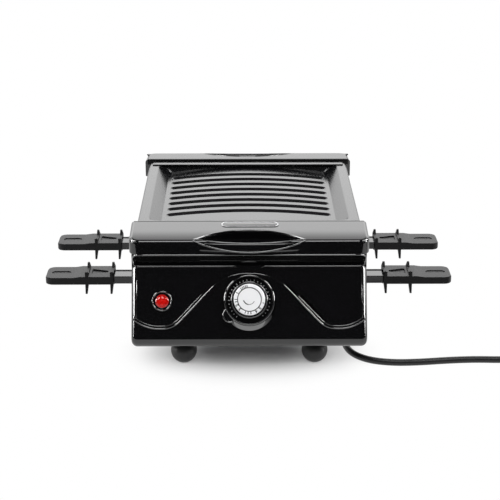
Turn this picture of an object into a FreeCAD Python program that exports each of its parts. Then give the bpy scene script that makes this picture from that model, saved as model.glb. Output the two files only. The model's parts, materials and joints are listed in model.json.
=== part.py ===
"""A table-top raclette grill for four people, in millimetres: +X to the right, +Y to the back, +Z up.

Two plastic housings, front and rear, stand on ball feet and carry a cast grill plate between them. Four pans
slide in from the sides, two each side, onto a sheet tray below a tubular heating element.
"""

import FreeCAD, Part
import math
import os

V = FreeCAD.Vector

# Main sizes, on which the rest hangs: width and depth, the housings' floor and the height above it
housing_w = 236.0
plate_d = 223.0
housing_bottom_z = 25.0
body_h = 111.0

# Plate
plate_inset = 7.0
plate_corner = 9.0
plate_below_cover = 2.9
plate_h = 15.1
rim_w = 11.0
rim_round = 2.6
wall_run = 4.0
side_run = 16.0
face_below_rim = 3.1
face_radius = 700.0
groove_count = 8
groove_back = 34.2
groove_pitch = 18.8
groove_w = 10.5
groove_floor_w = 3.0
groove_end = 29.5
groove_depth = 2.8
plate_wall = 3.2

# Housings and the sloped panel
housing_wall = 2.5
panel_tilt = 25.0
panel_len = 71.0
panel_top_d = 41.0
panel_below_cover = 13.0
bottom_round = 9.6
end_round = 6.0
top_round = 1.2
groove_d = 35.0
field_depth = 0.8
field_crest = 63.5
field_trough = 8.5
field_edge = 20.0
field_crest_half = 24.0
field_slope_in = 41.6
field_trough_in = 16.5
field_share = 0.42

# Top covers
cover_over = 4.0
cover_gap = 1.0
cover_d = 45.5
cover_fall = 5.5
cover_lip_h = 15.2
cover_wall = 2.5
cover_corner = 11.0
fold_round = 4.0
foot_round = 1.2
grip_half = 56.0
grip_depth = 9.0
grip_set = 21.0
grip_ends = 4.0
grip_bulge = 4.0
grip_bow = 5.0
bar_deep = 5.0
bar_under = 3.0
bar_over = 2.0
boss_r = 4.5
boss_roof = 3.5
boss_bore = 14.0

# Sheet metal
sheet = 0.8
shelf_lift = 13.7
tray_inset = 8.0
rib_h = 6.0
rib_half = 1.2
plate_ledge = 8.0
tray_screw_in = 30.0
tray_tab_half = 18.0
tray_tab_drop = 10.0
tray_edge_drop = 4.0
tray_screw_r = 1.5
tray_screw_len = 8.0
tray_head_r = 2.8
tray_head_h = 1.8

# Pans and handles
pan_between = 11.0
pan_to_shield = 11.0
pan_to_side = 15.5
pan_inner_x = 6.5
pan_corner = 12.0
pan_lift = 0.3
pan_h = 17.2
pan_sheet = 0.9
pan_rim_w = 2.6
pan_draft = 4.0
pan_round = 4.5
neck_w = 20.4
neck_h = 7.6
neck_len = 42.1
tongue_w = 16.0
tongue_len = 34.0
handle_w = 33.5
handle_len = 73.2
handle_over = 1.5
handle_h = 7.7
handle_step = 1.1
handle_step_at = 39.4
handle_corner = 9.0
fin_t = 3.5
fin_tip_t = 2.0
fin_up = 6.2
fin_down = 10.9
fin_second_at = 28.4
handle_screw_r = 1.5
handle_head_r = 2.7
handle_head_h = 1.5
handle_screw_in = 14.5

# Feet
foot_flat = 0.6
foot_sunk = 0.9
foot_in = 51.4
foot_d = 44.0

# Knob, its surround and the pilot light, on the panel
knob_s = 36.5
knob_cap_d = 31.0
knob_disc_d = 23.5
knob_skirt_d = 36.4
knob_face_h = 21.0
cap_round = 1.6
skirt_h = 15.0
surround_d = 50.0
surround_flare = 3.0
surround_h = 9.0
surround_floor = 2.0
surround_wall = 2.2
surround_bore_r = 8.8
ear_r = 7.5
ear_reach = 24.0
ear_angle = 218.0
ear_mark_r = 1.4
shaft_d = 6.0
bushing_d = 10.0
pilot_in = 31.0
pilot_s = 36.0
lens_d = 13.2
lens_rise = 2.6
bezel_d = 21.0
bezel_h = 2.4

# Heating element
element_d = 6.6
element_below_plate = 12.0
element_to_cover = 24.5
element_front_in = 6.0
element_in = 30.0
element_loop_y = 46.0
element_bend = 13.0
cold_end_x = 30.0
hook_in = 28.0
hook_half = 4.0
hook_drop = 12.0
hook_catch = 6.0
hook_lip = 3.0

# Cord
cord_d = 7.0
gland_x = 22.0
gland_lift = 8.0
gland_r = 4.8
gland_lip = 1.6
boot_len = 14.0
floor_lift = 0.05
coil_mean_r = 36.0
coil_turns = 2.5
coil_step = 7.6
coil_x = 312.0
coil_y = -118.0
tie_t = 0.8
tie_w = 6.0
tie_gap = 0.15
tie_angle = 205.0
plug_d = 37.0
plug_len = 34.0
plug_sleeve = 18.0
plug_neck = 8.0
plug_y = -174.0
pin_d = 4.8
pin_len = 19.0
pin_pitch = 19.0
pin_round = 1.5

# Fasteners and inner parts
tower_in = 38.0
tower_d = 17.5
tower_r = 6.0
tower_below_panel = 1.3
tower_web = 3.0
screw_r = 1.95
head_r = 3.8
head_h = 2.6
foot_screw_len = 14.0
cover_screw_reach = 12.0
sensor_w = 34.0
sensor_h = 30.0
sensor_deep = 20.0
nut_h = 3.0
nut_r = 8.5
lead_d = 2.4
core_d = 2.2
block_h = 11.0
block_half = 15.0
block_gap = 5.0
block_deep = 12.0
block_post = 9.0
sheath_len = 13.0
clamp_half = 9.0
clamp_in = 3.0
clamp_deep = 6.0
tab_x = 10.0
tab_len = 7.0
tab_back = 11.0
tab_t = 0.8
tab_half = 3.1
cold_end_out = 14.0
cold_end_tab = 12.0
flange_over = 4.0
flange_t = 1.5
lamp_r = 3.0
lamp_reach = 14.0

# Clearances
move_gap = 0.3
fit = 0.1
screw_fit = 0.05
run_fit = 0.05
past = 1.0

housing_half = housing_w / 2
plate_w = housing_w - plate_inset
cover_w = housing_w + cover_over
tray_w = housing_w - tray_inset
cover_inner_z = housing_bottom_z + body_h
cover_fold_z = cover_inner_z - cover_fall
cover_under_z = cover_fold_z - cover_lip_h
plate_rim_z = cover_inner_z - plate_below_cover
plate_under_z = plate_rim_z - plate_h
face_top_z = plate_rim_z - face_below_rim
panel_top_z = cover_under_z - panel_below_cover
tower_top_z = panel_top_z - tower_below_panel
element_z = plate_under_z - element_below_plate
shelf_z = housing_bottom_z + shelf_lift
shelf_under = shelf_z - sheet
pan_bottom_z = shelf_z + pan_lift
pan_rim_z = pan_bottom_z + pan_h
handle_top_z = pan_rim_z + handle_over
gland_z = housing_bottom_z + gland_lift
foot_r = (housing_bottom_z + foot_flat + foot_sunk) / 2

cover_in = plate_d / 2 + cover_gap
cover_out = cover_in + cover_d
panel_top_out = cover_in + panel_top_d
groove_out = cover_in + groove_d
grip_in = cover_in + grip_set
tower_out = cover_in + tower_d
foot_out = cover_in + foot_d
element_half = cover_in - element_to_cover
groove_first_y = plate_d / 2 - groove_back
groove_len = plate_w - 2 * groove_end
pan_w = cover_in - pan_between / 2 - pan_to_shield
pan_pitch = pan_w + pan_between
pan_outer_x = housing_half - pan_to_side
handle_in_x = pan_outer_x + neck_len
handle_out_x = handle_in_x + handle_len
handle_step_x = handle_in_x + handle_step_at
fin_second_x = handle_in_x + fin_second_at
tower_x = housing_half - tower_in
foot_x = housing_half - foot_in
pilot_x = pilot_in - housing_half
shapes = {}


def put(name, solids):
    """Keep a node: one solid or a list of separate solids."""
    if isinstance(solids, list):
        solids = Part.Compound(solids) if len(solids) > 1 else solids[0]
    shapes[name] = solids
    return solids


def box(x0, x1, y0, y1, z0, z1):
    return Part.makeBox(x1 - x0, y1 - y0, z1 - z0, V(x0, y0, z0))


def rod(r, z0, z1, x=0.0, y=0.0):
    return Part.makeCylinder(r, z1 - z0, V(x, y, z0))


def outline(points, place):
    """A closed wire through corners (a, b, round), each corner an arc; place gives the 3-D point."""
    flat = [(V(a, b, 0), r) for a, b, r in points]
    edges, ends = [], []
    count = len(flat)
    for i in range(count):
        before, (corner, r), after = flat[i - 1][0], flat[i], flat[(i + 1) % count][0]
        if r <= 0:
            ends.append((corner, corner, None))
            continue
        back = (before - corner).normalize()
        on = (after - corner).normalize()
        half = back.getAngle(on) / 2
        start, end = corner + back * (r / math.tan(half)), corner + on * (r / math.tan(half))
        middle = corner + (back + on).normalize() * (r / math.sin(half) - r)
        ends.append((start, end, middle))
    for i in range(count):
        start, end, middle = ends[i]
        if middle is not None:
            edges.append(Part.Arc(place(start), place(middle), place(end)).toShape())
        following = ends[(i + 1) % count][0]
        if (following - end).Length > 1e-6:
            edges.append(Part.LineSegment(place(end), place(following)).toShape())
    return Part.Wire(edges)


def slab(points, z0, z1):
    """An outline in plan, raised from z0 to z1."""
    wire = outline(points, lambda p: V(p.x, p.y, z0))
    return Part.Face(wire).extrude(V(0, 0, z1 - z0))


def section(points, x0, x1):
    """An outline in (outwards, up) on the front side, run along X from x0 to x1."""
    wire = outline(points, lambda p: V(x0, -p.x, p.y))
    return Part.Face(wire).extrude(V(x1 - x0, 0, 0))


def rectangle(x0, x1, y0, y1, r):
    return [(x0, y0, r), (x1, y0, r), (x1, y1, r), (x0, y1, r)]


def to_rear(shape):
    return shape.mirror(V(0, 0, 0), V(0, 1, 0))


def edges_at(shape, test):
    return [e for e in shape.Edges if test(e.CenterOfMass, e)]


def fuse(first, *others):
    return first.fuse(list(others)).removeSplitter() if others else first


tilt = math.radians(panel_tilt)
panel_foot_out = panel_top_out + panel_len * math.sin(tilt)
panel_foot_z = panel_top_z - panel_len * math.cos(tilt)


def on_panel(shape, x, s, lift=0.0):
    """Carry a shape built on the plane z=0 onto the panel at x and s up its slope, facing out."""
    out = panel_foot_out - s * math.sin(tilt) + lift * math.cos(tilt)
    z = panel_foot_z + s * math.cos(tilt) + lift * math.sin(tilt)
    moved = shape.copy()
    moved.Placement = FreeCAD.Placement(
        V(x, -out, z), FreeCAD.Rotation(V(1, 0, 0), 90 - panel_tilt)
    ).multiply(moved.Placement)
    return moved


def tube(points, d, bends=None):
    """A tube along straight runs joined by tangent arcs, each as large as its two runs allow."""
    points = [V(*p) for p in points]
    edges, radii, last = [], [], points[0]
    for i in range(1, len(points) - 1):
        back = points[i - 1] - points[i]
        on = points[i + 1] - points[i]
        turn = math.pi - back.getAngle(on)
        r = bends if bends else 0.45 * min(back.Length, on.Length) / math.tan(turn / 2)
        reach = r * math.tan(turn / 2)
        start = points[i] + back.normalize() * reach
        end = points[i] + on.normalize() * reach
        middle = points[i] + (back + on).normalize() * (r / math.cos(turn / 2) - r)
        edges.append(Part.LineSegment(last, start).toShape())
        edges.append(Part.Arc(start, middle, end).toShape())
        radii.append(r)
        last = end
    edges.append(Part.LineSegment(last, points[-1]).toShape())
    path = Part.Wire(edges)
    ring = Part.Wire(Part.makeCircle(d / 2, points[0], points[1] - points[0]))
    solid = path.makePipeShell([ring], True, False)
    if solid.Volume < 0:
        solid.reverse()
    return solid, path.Length, radii


def grill_plate():
    """One casting: a rim, a domed face with eight grooves, and a hollowed underside."""
    half_w, half_d = plate_w / 2, plate_d / 2
    body = slab(rectangle(-half_w, half_w, -half_d, half_d, plate_corner), plate_under_z, plate_rim_z)
    upper = rectangle(rim_w - half_w, half_w - rim_w, rim_w - half_d, half_d - rim_w, plate_corner)
    deep = rim_w + wall_run
    low_half = half_w - rim_w - side_run
    lower = rectangle(-low_half, low_half, deep - half_d, half_d - deep, plate_corner - wall_run)
    floor_z = plate_under_z + plate_wall
    wires = [
        outline(upper, lambda p: V(p.x, p.y, plate_rim_z)),
        outline(lower, lambda p: V(p.x, p.y, floor_z)),
    ]
    axis_z = face_top_z - face_radius

    def face_roll(radius, y0, y1):
        return Part.makeCylinder(radius, y1 - y0, V(0, y0, axis_z), V(0, 1, 0))

    basin = Part.makeLoft(wires, True, True).cut(face_roll(face_radius, -half_d, half_d))
    body = body.cut(basin)
    rim_edges = edges_at(body, lambda c, e: abs(c.z - plate_rim_z) < 0.01)
    body = body.makeFillet(rim_round, rim_edges)
    groove = [
        (-groove_w / 2, face_top_z + past, 0),
        (groove_w / 2, face_top_z + past, 0),
        (groove_w / 2, face_top_z, 0),
        (groove_floor_w / 2, face_top_z - groove_depth, 0),
        (-groove_floor_w / 2, face_top_z - groove_depth, 0),
        (-groove_w / 2, face_top_z, 0),
    ]
    swing = math.degrees(math.asin((groove_len - groove_w) / 2 / face_radius))
    cuts = []
    for i in range(groove_count):
        y = groove_first_y - i * groove_pitch
        face = Part.Face(outline(groove, lambda p: V(0, y + p.x, p.y)))
        face.rotate(V(0, 0, axis_z), V(0, 1, 0), -swing)
        cuts.append(face.revolve(V(0, 0, axis_z), V(0, 1, 0), 2 * swing))
        for side in (-swing, swing):
            end = Part.makeCone(
                groove_floor_w / 2, groove_w / 2, groove_depth, V(0, y, face_top_z - groove_depth)
            ).fuse(rod(groove_w / 2, face_top_z, face_top_z + past, 0, y))
            end.rotate(V(0, 0, axis_z), V(0, 1, 0), side)
            cuts.append(end)
    body = body.cut(cuts)
    inner = half_d - rim_w
    hollow = face_roll(face_radius - groove_depth - plate_wall, -inner, inner)
    hollow = hollow.common(box(-half_w, half_w, -inner, inner, plate_under_z - past, face_top_z))
    put("grill_plate", body.cut(hollow))


def cover_solid(inset, under):
    """The outer form of a top cover, or its hollow when inset; corners rounded in plan."""
    half = cover_w / 2 - inset
    fall = (cover_inner_z - cover_fold_z) / (cover_out - cover_in)
    side = [
        (cover_in + inset, under, 0),
        (cover_out - inset, under, 0),
        (cover_out - inset, cover_fold_z + fall * inset - inset, 0),
        (cover_in + inset, cover_inner_z - fall * inset - inset, 0),
    ]
    plan = [
        (-half, -cover_in - inset, 0),
        (half, -cover_in - inset, 0),
        (half, inset - cover_out, cover_corner - inset),
        (-half, inset - cover_out, cover_corner - inset),
    ]
    return section(side, -half, half).common(slab(plan, under - past, cover_inner_z + past))


def lens(rear_out, front_out, half, ends_out, z0, z1):
    """A lens in plan between two arcs that meet at its ends."""
    a, b = V(-half, -ends_out, z0), V(half, -ends_out, z0)
    arcs = [Part.Arc(a, V(0, -rear_out, z0), b).toShape(), Part.Arc(b, V(0, -front_out, z0), a).toShape()]
    return Part.Face(Part.Wire(arcs)).extrude(V(0, 0, z1 - z0))


def grip_bar(low, high):
    """The bowed bar in front of the finger pocket: a rounded section swung about a far upright axis."""
    radius = (grip_half**2 + grip_bow**2) / (2 * grip_bow)
    front = cover_out + grip_bulge
    centre = V(0, -(front - radius), 0)
    back = cover_out - bar_deep
    side = [(back, low, 0), (front, low, 3.0), (front, high, 2.4), (back, high, 0)]
    face = Part.Face(outline(side, lambda p: V(0, -p.x, p.y)))
    swing = math.degrees(math.asin(grip_half / radius))
    face.rotate(centre, V(0, 0, 1), -swing)
    return face.revolve(centre, V(0, 0, 1), 2 * swing)


def top_cover():
    outer = cover_solid(0, cover_under_z)
    rim = edges_at(outer, lambda c, e: c.z > cover_fold_z - past and -c.y > cover_in + past)
    outer = outer.makeFillet(fold_round, rim)
    foot = edges_at(outer, lambda c, e: abs(c.z - cover_under_z) < 0.01 and -c.y > cover_in + past)
    outer = outer.makeFillet(foot_round, foot)
    hollow = cover_solid(cover_wall, cover_under_z + cover_wall)
    half = housing_w / 2 - housing_wall
    window_y = (housing_wall - groove_out, -cover_in - cover_wall)
    window = box(-half, half, *window_y, cover_under_z - past, cover_fold_z)
    window = window.common(cover_solid(cover_wall, cover_under_z - past))
    ends_out = cover_out - grip_ends
    pocket_floor = cover_fold_z - grip_depth
    cup_half, cup_floor = grip_half + grip_ends, pocket_floor - cover_wall
    cup = lens(grip_in - cover_wall, cover_out, cup_half, ends_out, cup_floor, cover_inner_z)
    cup = cup.common(cover_solid(0.5, cover_under_z))
    bar = grip_bar(pocket_floor - bar_under, cover_fold_z - bar_over)
    pocket = lens(grip_in, cover_out + 0.5, grip_half, ends_out, pocket_floor, cover_inner_z + past)
    bosses = [rod(boss_r, tower_top_z, cover_inner_z - boss_roof, x, -tower_out) for x in (-tower_x, tower_x)]
    pilot_r, pilot_top = screw_r + screw_fit, tower_top_z + boss_bore
    pilots = [rod(pilot_r, tower_top_z - past, pilot_top, x, -tower_out) for x in (-tower_x, tower_x)]
    cover = outer.cut(hollow).cut(window)
    for piece in [cup, bar] + bosses:
        cover = cover.fuse(piece)
    cover = cover.cut([pocket] + pilots)
    put("front_top_cover", cover)
    put("rear_top_cover", to_rear(cover))


def housing_solid(inset, open_more):
    """The lower housing's outer form, or its hollow when inset: panel, bottom round and ends."""
    half = housing_w / 2 - inset
    floor = housing_bottom_z + inset
    ledge = panel_top_z - inset
    shift = inset / math.cos(tilt)
    foot = panel_top_out - shift + (panel_top_z - floor) * math.tan(tilt)
    head = panel_top_out - shift + (panel_top_z - ledge) * math.tan(tilt)
    side = [
        (cover_in - open_more, floor, 0),
        (foot, floor, bottom_round - inset),
        (head, ledge, 0 if inset else top_round),
        (groove_out - inset, ledge, 0),
        (groove_out - inset, cover_under_z + open_more, 0),
        (cover_in - open_more, cover_under_z + open_more, 0),
    ]
    solid = section(side, -half, half)

    def outer_end(c, e):
        return abs(abs(c.x) - half) < 0.01 and c.z < ledge - 1.5 and -c.y > cover_in + 5

    return solid.makeFillet(end_round - inset, edges_at(solid, outer_end))


def wave_field():
    """The raised field's upper edge on the panel: a crest over the knob and a trough each side."""
    half = housing_half + past
    slope, trough = housing_half - field_slope_in, housing_half - field_trough_in
    fall = math.atan2(field_crest - field_trough, slope - field_crest_half)
    rise = math.atan2(field_edge - field_trough, half - trough)
    crest_round = 0.9 * field_crest_half / math.tan(fall / 2)
    near_round = field_share * (trough - slope) / math.tan(fall / 2)
    far_round = field_share * (trough - slope) / math.tan(rise / 2)
    right = [(field_crest_half, field_crest, crest_round), (slope, field_trough, near_round)]
    right += [(trough, field_trough, far_round), (half, field_edge, 0)]
    left = [(-x, s, r) for x, s, r in reversed(right)]
    return left + right + [(half, panel_len + 6, 0), (-half, panel_len + 6, 0)]


def lower_housing(front):
    shell = housing_solid(0, 0).cut(housing_solid(housing_wall, 1))
    cuts = [on_panel(slab(wave_field(), -field_depth, 3), 0, 0)]
    adds = []
    for x in (-tower_x, tower_x):
        adds.append(rod(tower_r, housing_bottom_z + past, tower_top_z, x, -tower_out))
        cuts.append(rod(head_r + 0.5, housing_bottom_z - past, tower_top_z - tower_web, x, -tower_out))
        cuts.append(rod(screw_r + 0.2, housing_bottom_z, tower_top_z + past, x, -tower_out))
    for x in (-foot_x, foot_x):
        cuts.append(rod(screw_r + screw_fit, housing_bottom_z - 1, housing_bottom_z + 5, x, -foot_out))
    if front:
        bushing = rod(bushing_d / 2 + fit, -2 * housing_wall, 1)
        cuts.append(on_panel(bushing, 0, knob_s))
        cuts.append(on_panel(rod(lens_d / 2 - 0.9, -2 * housing_wall, 1), pilot_x, pilot_s))
    shell = shell.fuse(adds).cut(cuts)
    put("front_housing" if front else "rear_housing", shell if front else to_rear(shell))


def heat_shield(front):
    """Sheet wall between the hot chamber and the housing, with a ledge that carries the plate."""
    half = housing_w / 2 - 1
    top = plate_under_z - move_gap
    wall = box(-half, half, -cover_in, sheet - cover_in, housing_bottom_z + 1, top)
    ledge_half = plate_w / 2 - plate_corner
    ledge = box(-ledge_half, ledge_half, sheet - cover_in, sheet - cover_in + plate_ledge, top - sheet, top)
    holes = []
    for x in (tray_screw_in - tray_w / 2, tray_w / 2 - tray_screw_in):
        start = V(x, -cover_in - past, shelf_under - tray_tab_drop / 2)
        holes.append(Part.makeCylinder(tray_screw_r + screw_fit, 4, start, V(0, 1, 0)))
    if front:
        gland_at = V(gland_x, -cover_in - past, gland_z)
        holes.append(Part.makeCylinder(gland_r - 0.4 + screw_fit, 4, gland_at, V(0, 1, 0)))
        for x in (-cold_end_x, cold_end_x):
            end_at = V(x, -cover_in - past, element_z)
            holes.append(Part.makeCylinder(element_d / 2 + 1.5, 4, end_at, V(0, 1, 0)))
    shield = fuse(wall, ledge).cut(holes)
    put("front_heat_shield" if front else "rear_heat_shield", shield if front else to_rear(shield))


def base_tray():
    """The pan shelf: a sheet between the shields with pressed ribs between the pans and turned-down tabs."""
    half, reach = tray_w / 2, cover_in - sheet
    parts = [box(-half, half, -reach, reach, shelf_under, shelf_z)]
    parts.append(box(-half, half, -rib_half, rib_half, shelf_under, shelf_z + rib_h))
    parts.append(box(-rib_half, rib_half, -reach + 4, reach - 4, shelf_under, shelf_z + rib_h))
    for x in (-half, half - sheet):
        parts.append(box(x, x + sheet, -reach, reach, shelf_under - tray_edge_drop, shelf_under))
    tabs, holes = [], []
    screw_z = shelf_under - tray_tab_drop / 2
    for x in (tray_screw_in - half, half - tray_screw_in):
        for y in (-reach, reach - sheet):
            low = shelf_under - tray_tab_drop
            tabs.append(box(x - tray_tab_half, x + tray_tab_half, y, y + sheet, low, shelf_under))
        bore_r, start = tray_screw_r + screw_fit, V(x, -reach - past, screw_z)
        holes.append(Part.makeCylinder(bore_r, 2 * (reach + past), start, V(0, 1, 0)))
    put("base_tray", fuse(parts[0], *(parts[1:] + tabs)).cut(holes))
    screws = []
    for x in (tray_screw_in - half, half - tray_screw_in):
        for side in (-1, 1):
            start = V(x, side * (reach - sheet), screw_z)
            head_at = start - V(0, side * tray_head_h, 0)
            head = Part.makeCylinder(tray_head_r, tray_head_h, head_at, V(0, side, 0))
            shank = Part.makeCylinder(tray_screw_r, tray_screw_len, start, V(0, side, 0))
            screws.append(fuse(head, shank))
    put("tray_screws", screws)


def feet():
    centre_z = foot_r - foot_flat
    number = 0
    for x in (-foot_x, foot_x):
        for y in (-foot_out, foot_out):
            number += 1
            ball = Part.makeSphere(foot_r, V(x, y, centre_z))
            ball = ball.common(box(x - foot_r, x + foot_r, y - foot_r, y + foot_r, 0, housing_bottom_z))
            bore_end = housing_bottom_z - foot_screw_len + 2
            ball = ball.cut(rod(screw_r + screw_fit, bore_end, housing_bottom_z, x, y))
            put(f"foot_{number}", ball)
    screws = []
    floor = housing_bottom_z + housing_wall
    for x in (-foot_x, foot_x):
        for y in (-foot_out, foot_out):
            head = rod(head_r, floor, floor + head_h, x, y)
            screws.append(fuse(head, rod(screw_r, floor - foot_screw_len, floor, x, y)))
    put("foot_screws", screws)
    screws = []
    under_web = tower_top_z - tower_web
    for x in (-tower_x, tower_x):
        for y in (-tower_out, tower_out):
            head = rod(head_r, under_web - head_h, under_web, x, y)
            screws.append(fuse(head, rod(screw_r, under_web, tower_top_z + cover_screw_reach, x, y)))
    put("cover_screws", screws)


def element():
    """One bent tubular heater with both cold ends through the front shield, and its rear hooks."""
    end_y = -cover_in - cold_end_out
    front_y = element_front_in - element_half
    right = [
        (cold_end_x, end_y, element_z),
        (cold_end_x, front_y, element_z),
        (element_half, front_y, element_z),
        (element_half, element_half, element_z),
        (element_in, element_half, element_z),
        (element_in, -element_loop_y, element_z),
    ]
    left = [(-x, y, z) for x, y, z in reversed(right)]
    solid, length, radii = tube(right + left, element_d, element_bend)
    round_volume = math.pi * element_d**2 / 4 * length
    print("element length", round(length), "volume ratio", solid.Volume / round_volume)
    put("heating_element", solid)
    ends, flanges = [], []
    for x in (-cold_end_x, cold_end_x):
        ends.append(Part.makeCylinder(element_d / 2, 4, V(x, end_y, element_z), V(0, -1, 0)))
        low = end_y - 4 - cold_end_tab
        tab = box(x - tab_half, x + tab_half, low, end_y - 4, element_z - tab_t / 2, element_z + tab_t / 2)
        ends.append(tab)
        ring_at = V(x, -cover_in, element_z)
        ring = Part.makeCylinder(element_d / 2 + flange_over, flange_t, ring_at, V(0, -1, 0))
        bore = Part.makeCylinder(element_d / 2 + screw_fit, 2, V(x, -cover_in + 0.2, element_z), V(0, -1, 0))
        flanges.append(ring.cut(bore))
    put("element_terminals", ends)
    put("element_flanges", flanges)
    hooks = []
    seat = element_z - element_d / 2
    for x in (hook_in - element_half, element_half - hook_in):
        x0, x1, catch = x - hook_half, x + hook_half, element_half - hook_catch
        wall = box(x0, x1, cover_in - 2 * sheet, cover_in - sheet, seat - hook_drop, seat)
        arm = box(x0, x1, catch, cover_in - sheet, seat - sheet, seat)
        lip = box(x0, x1, catch, catch + sheet, seat, seat + hook_lip)
        hooks.append(fuse(wall, arm, lip))
    put("element_hooks", hooks)


def pan_set():
    """Four pans, each pressed from sheet with a channel neck, in a moulded handle with two cross fins."""
    half = pan_w / 2
    x0, x1 = pan_inner_x, pan_outer_x

    def dish(inset, bottom):
        low = inset + pan_draft
        top = rectangle(x0 + inset, x1 - inset, inset - half, half - inset, pan_corner - inset)
        under = rectangle(x0 + low, x1 - low, low - half, half - low, pan_corner - inset)
        wires = [
            outline(under, lambda p: V(p.x, p.y, bottom)),
            outline(top, lambda p: V(p.x, p.y, pan_rim_z)),
        ]
        solid = Part.makeLoft(wires, True, True)
        low_edges = edges_at(solid, lambda c, e: abs(c.z - bottom) < 0.01)
        return solid.makeFillet(pan_round - inset * 0.2, low_edges)

    outer = dish(pan_rim_w, pan_bottom_z)
    inner = dish(pan_rim_w + pan_sheet, pan_bottom_z + pan_sheet)
    rim = slab(rectangle(x0, x1, -half, half, pan_corner), pan_rim_z - pan_sheet, pan_rim_z)
    neck_half = neck_w / 2
    half_in = neck_half - pan_sheet
    neck_z = pan_rim_z - neck_h
    neck = box(x1 - pan_rim_w - 3, handle_in_x, -neck_half, neck_half, neck_z, pan_rim_z)
    neck_end = handle_in_x - pan_sheet
    under_neck = box(x1 - pan_rim_w - 3, neck_end, -half_in, half_in, neck_z - past, pan_rim_z - pan_sheet)
    tongue_z = (handle_top_z + handle_top_z - handle_h) / 2
    tongue_end = handle_in_x + tongue_len
    tongue = box(handle_in_x, tongue_end, -tongue_w / 2, tongue_w / 2, tongue_z, tongue_z + pan_sheet)
    screw_x = handle_in_x + handle_screw_in
    pan = outer.fuse([rim, neck.cut(under_neck)]).cut(inner).fuse(tongue)
    pan = pan.cut(rod(handle_screw_r + screw_fit, tongue_z - past, tongue_z + 2, screw_x, 0))

    under = handle_top_z - handle_h
    raised = handle_top_z + handle_step
    side = [
        (handle_in_x, under, 0),
        (handle_out_x, under, 1.6),
        (handle_out_x, handle_top_z, 2.4),
        (handle_step_x + 4, handle_top_z, 3.0),
        (handle_step_x - 4, raised, 3.0),
        (handle_in_x, raised, 0),
    ]
    wide = handle_w / 2
    profile = Part.Face(outline(side, lambda p: V(p.x, -wide, p.y))).extrude(V(0, handle_w, 0))
    plan = [(handle_in_x, -wide, 0), (handle_out_x, -wide, handle_corner)]
    plan += [(handle_out_x, wide, handle_corner), (handle_in_x, wide, 0)]
    grip = profile.common(slab(plan, under - past, raised + past))

    def fin(x):
        top, low = handle_top_z + fin_up, under - fin_down
        half_face = [(wide, low, 0.8), (wide, top, 0.8), (wide - 3.6, top, 0.8), (wide - 8, raised + 1.4, 3)]
        half_face += [(8 - wide, raised + 1.4, 3), (3.6 - wide, top, 0.8)]
        half_face += [(-wide, top, 0.8), (-wide, low, 0.8)]
        half_face += [(4.2 - wide, low, 0.8), (8.5 - wide, under - 1.6, 3), (wide - 8.5, under - 1.6, 3)]
        half_face += [(wide - 4.2, low, 0.8)]
        plate = Part.Face(outline(half_face, lambda p: V(x, p.x, p.y))).extrude(V(fin_t, 0, 0))
        slope = [(x + fin_t, low, 0), (x + fin_t, top, 0), (x + fin_t - fin_tip_t, top, 0), (x, raised, 0)]
        slope += [(x, under, 0), (x + fin_t - fin_tip_t, low, 0)]
        wedge = Part.Face(outline(slope, lambda p: V(p.x, -wide - 1, p.y))).extrude(V(0, handle_w + 2, 0))
        return plate.common(wedge)

    thumb_plan = rectangle(handle_step_x + 7, handle_out_x - 6, -4.2, 4.2, 4.1)
    thumb = slab(thumb_plan, handle_top_z - 0.8, raised + 1)
    first, last = handle_in_x + fin_t + 3, fin_second_x - fin_t / 2 - 2.5
    wedge_plan = [(first, -2, 1), (first, 2, 1), (last, 7.5, 1.5), (last, -7.5, 1.5)]
    wedge = slab(wedge_plan, raised - 1.3, raised + 1)
    slot = box(
        handle_in_x - 1,
        handle_in_x + tongue_len + fit,
        -tongue_w / 2 - fit,
        tongue_w / 2 + fit,
        tongue_z - fit,
        tongue_z + pan_sheet + fit,
    )
    seat = under + handle_head_h + fit
    hole = rod(handle_screw_r + screw_fit, under - past, raised - 1.9, screw_x, 0)
    hole = fuse(hole, rod(handle_head_r + 0.2, under - past, seat, screw_x, 0))
    grip = grip.fuse([fin(handle_in_x), fin(fin_second_x - fin_t / 2)]).cut([thumb, wedge, slot, hole])
    screw = rod(handle_screw_r, seat, raised - 2.2, screw_x, 0)
    screw = fuse(screw, rod(handle_head_r, seat - handle_head_h, seat, screw_x, 0))

    for side_name, flip in (("right", False), ("left", True)):
        for row_name, y in (("front", -pan_pitch / 2), ("rear", pan_pitch / 2)):
            for kind, solid in (("pan", pan), ("handle", grip), ("handle_screw", screw)):
                placed = solid.mirror(V(0, 0, 0), V(1, 0, 0)) if flip else solid.copy()
                placed.translate(V(0, y, 0))
                put(f"{kind}_{row_name}_{side_name}", placed)


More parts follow.
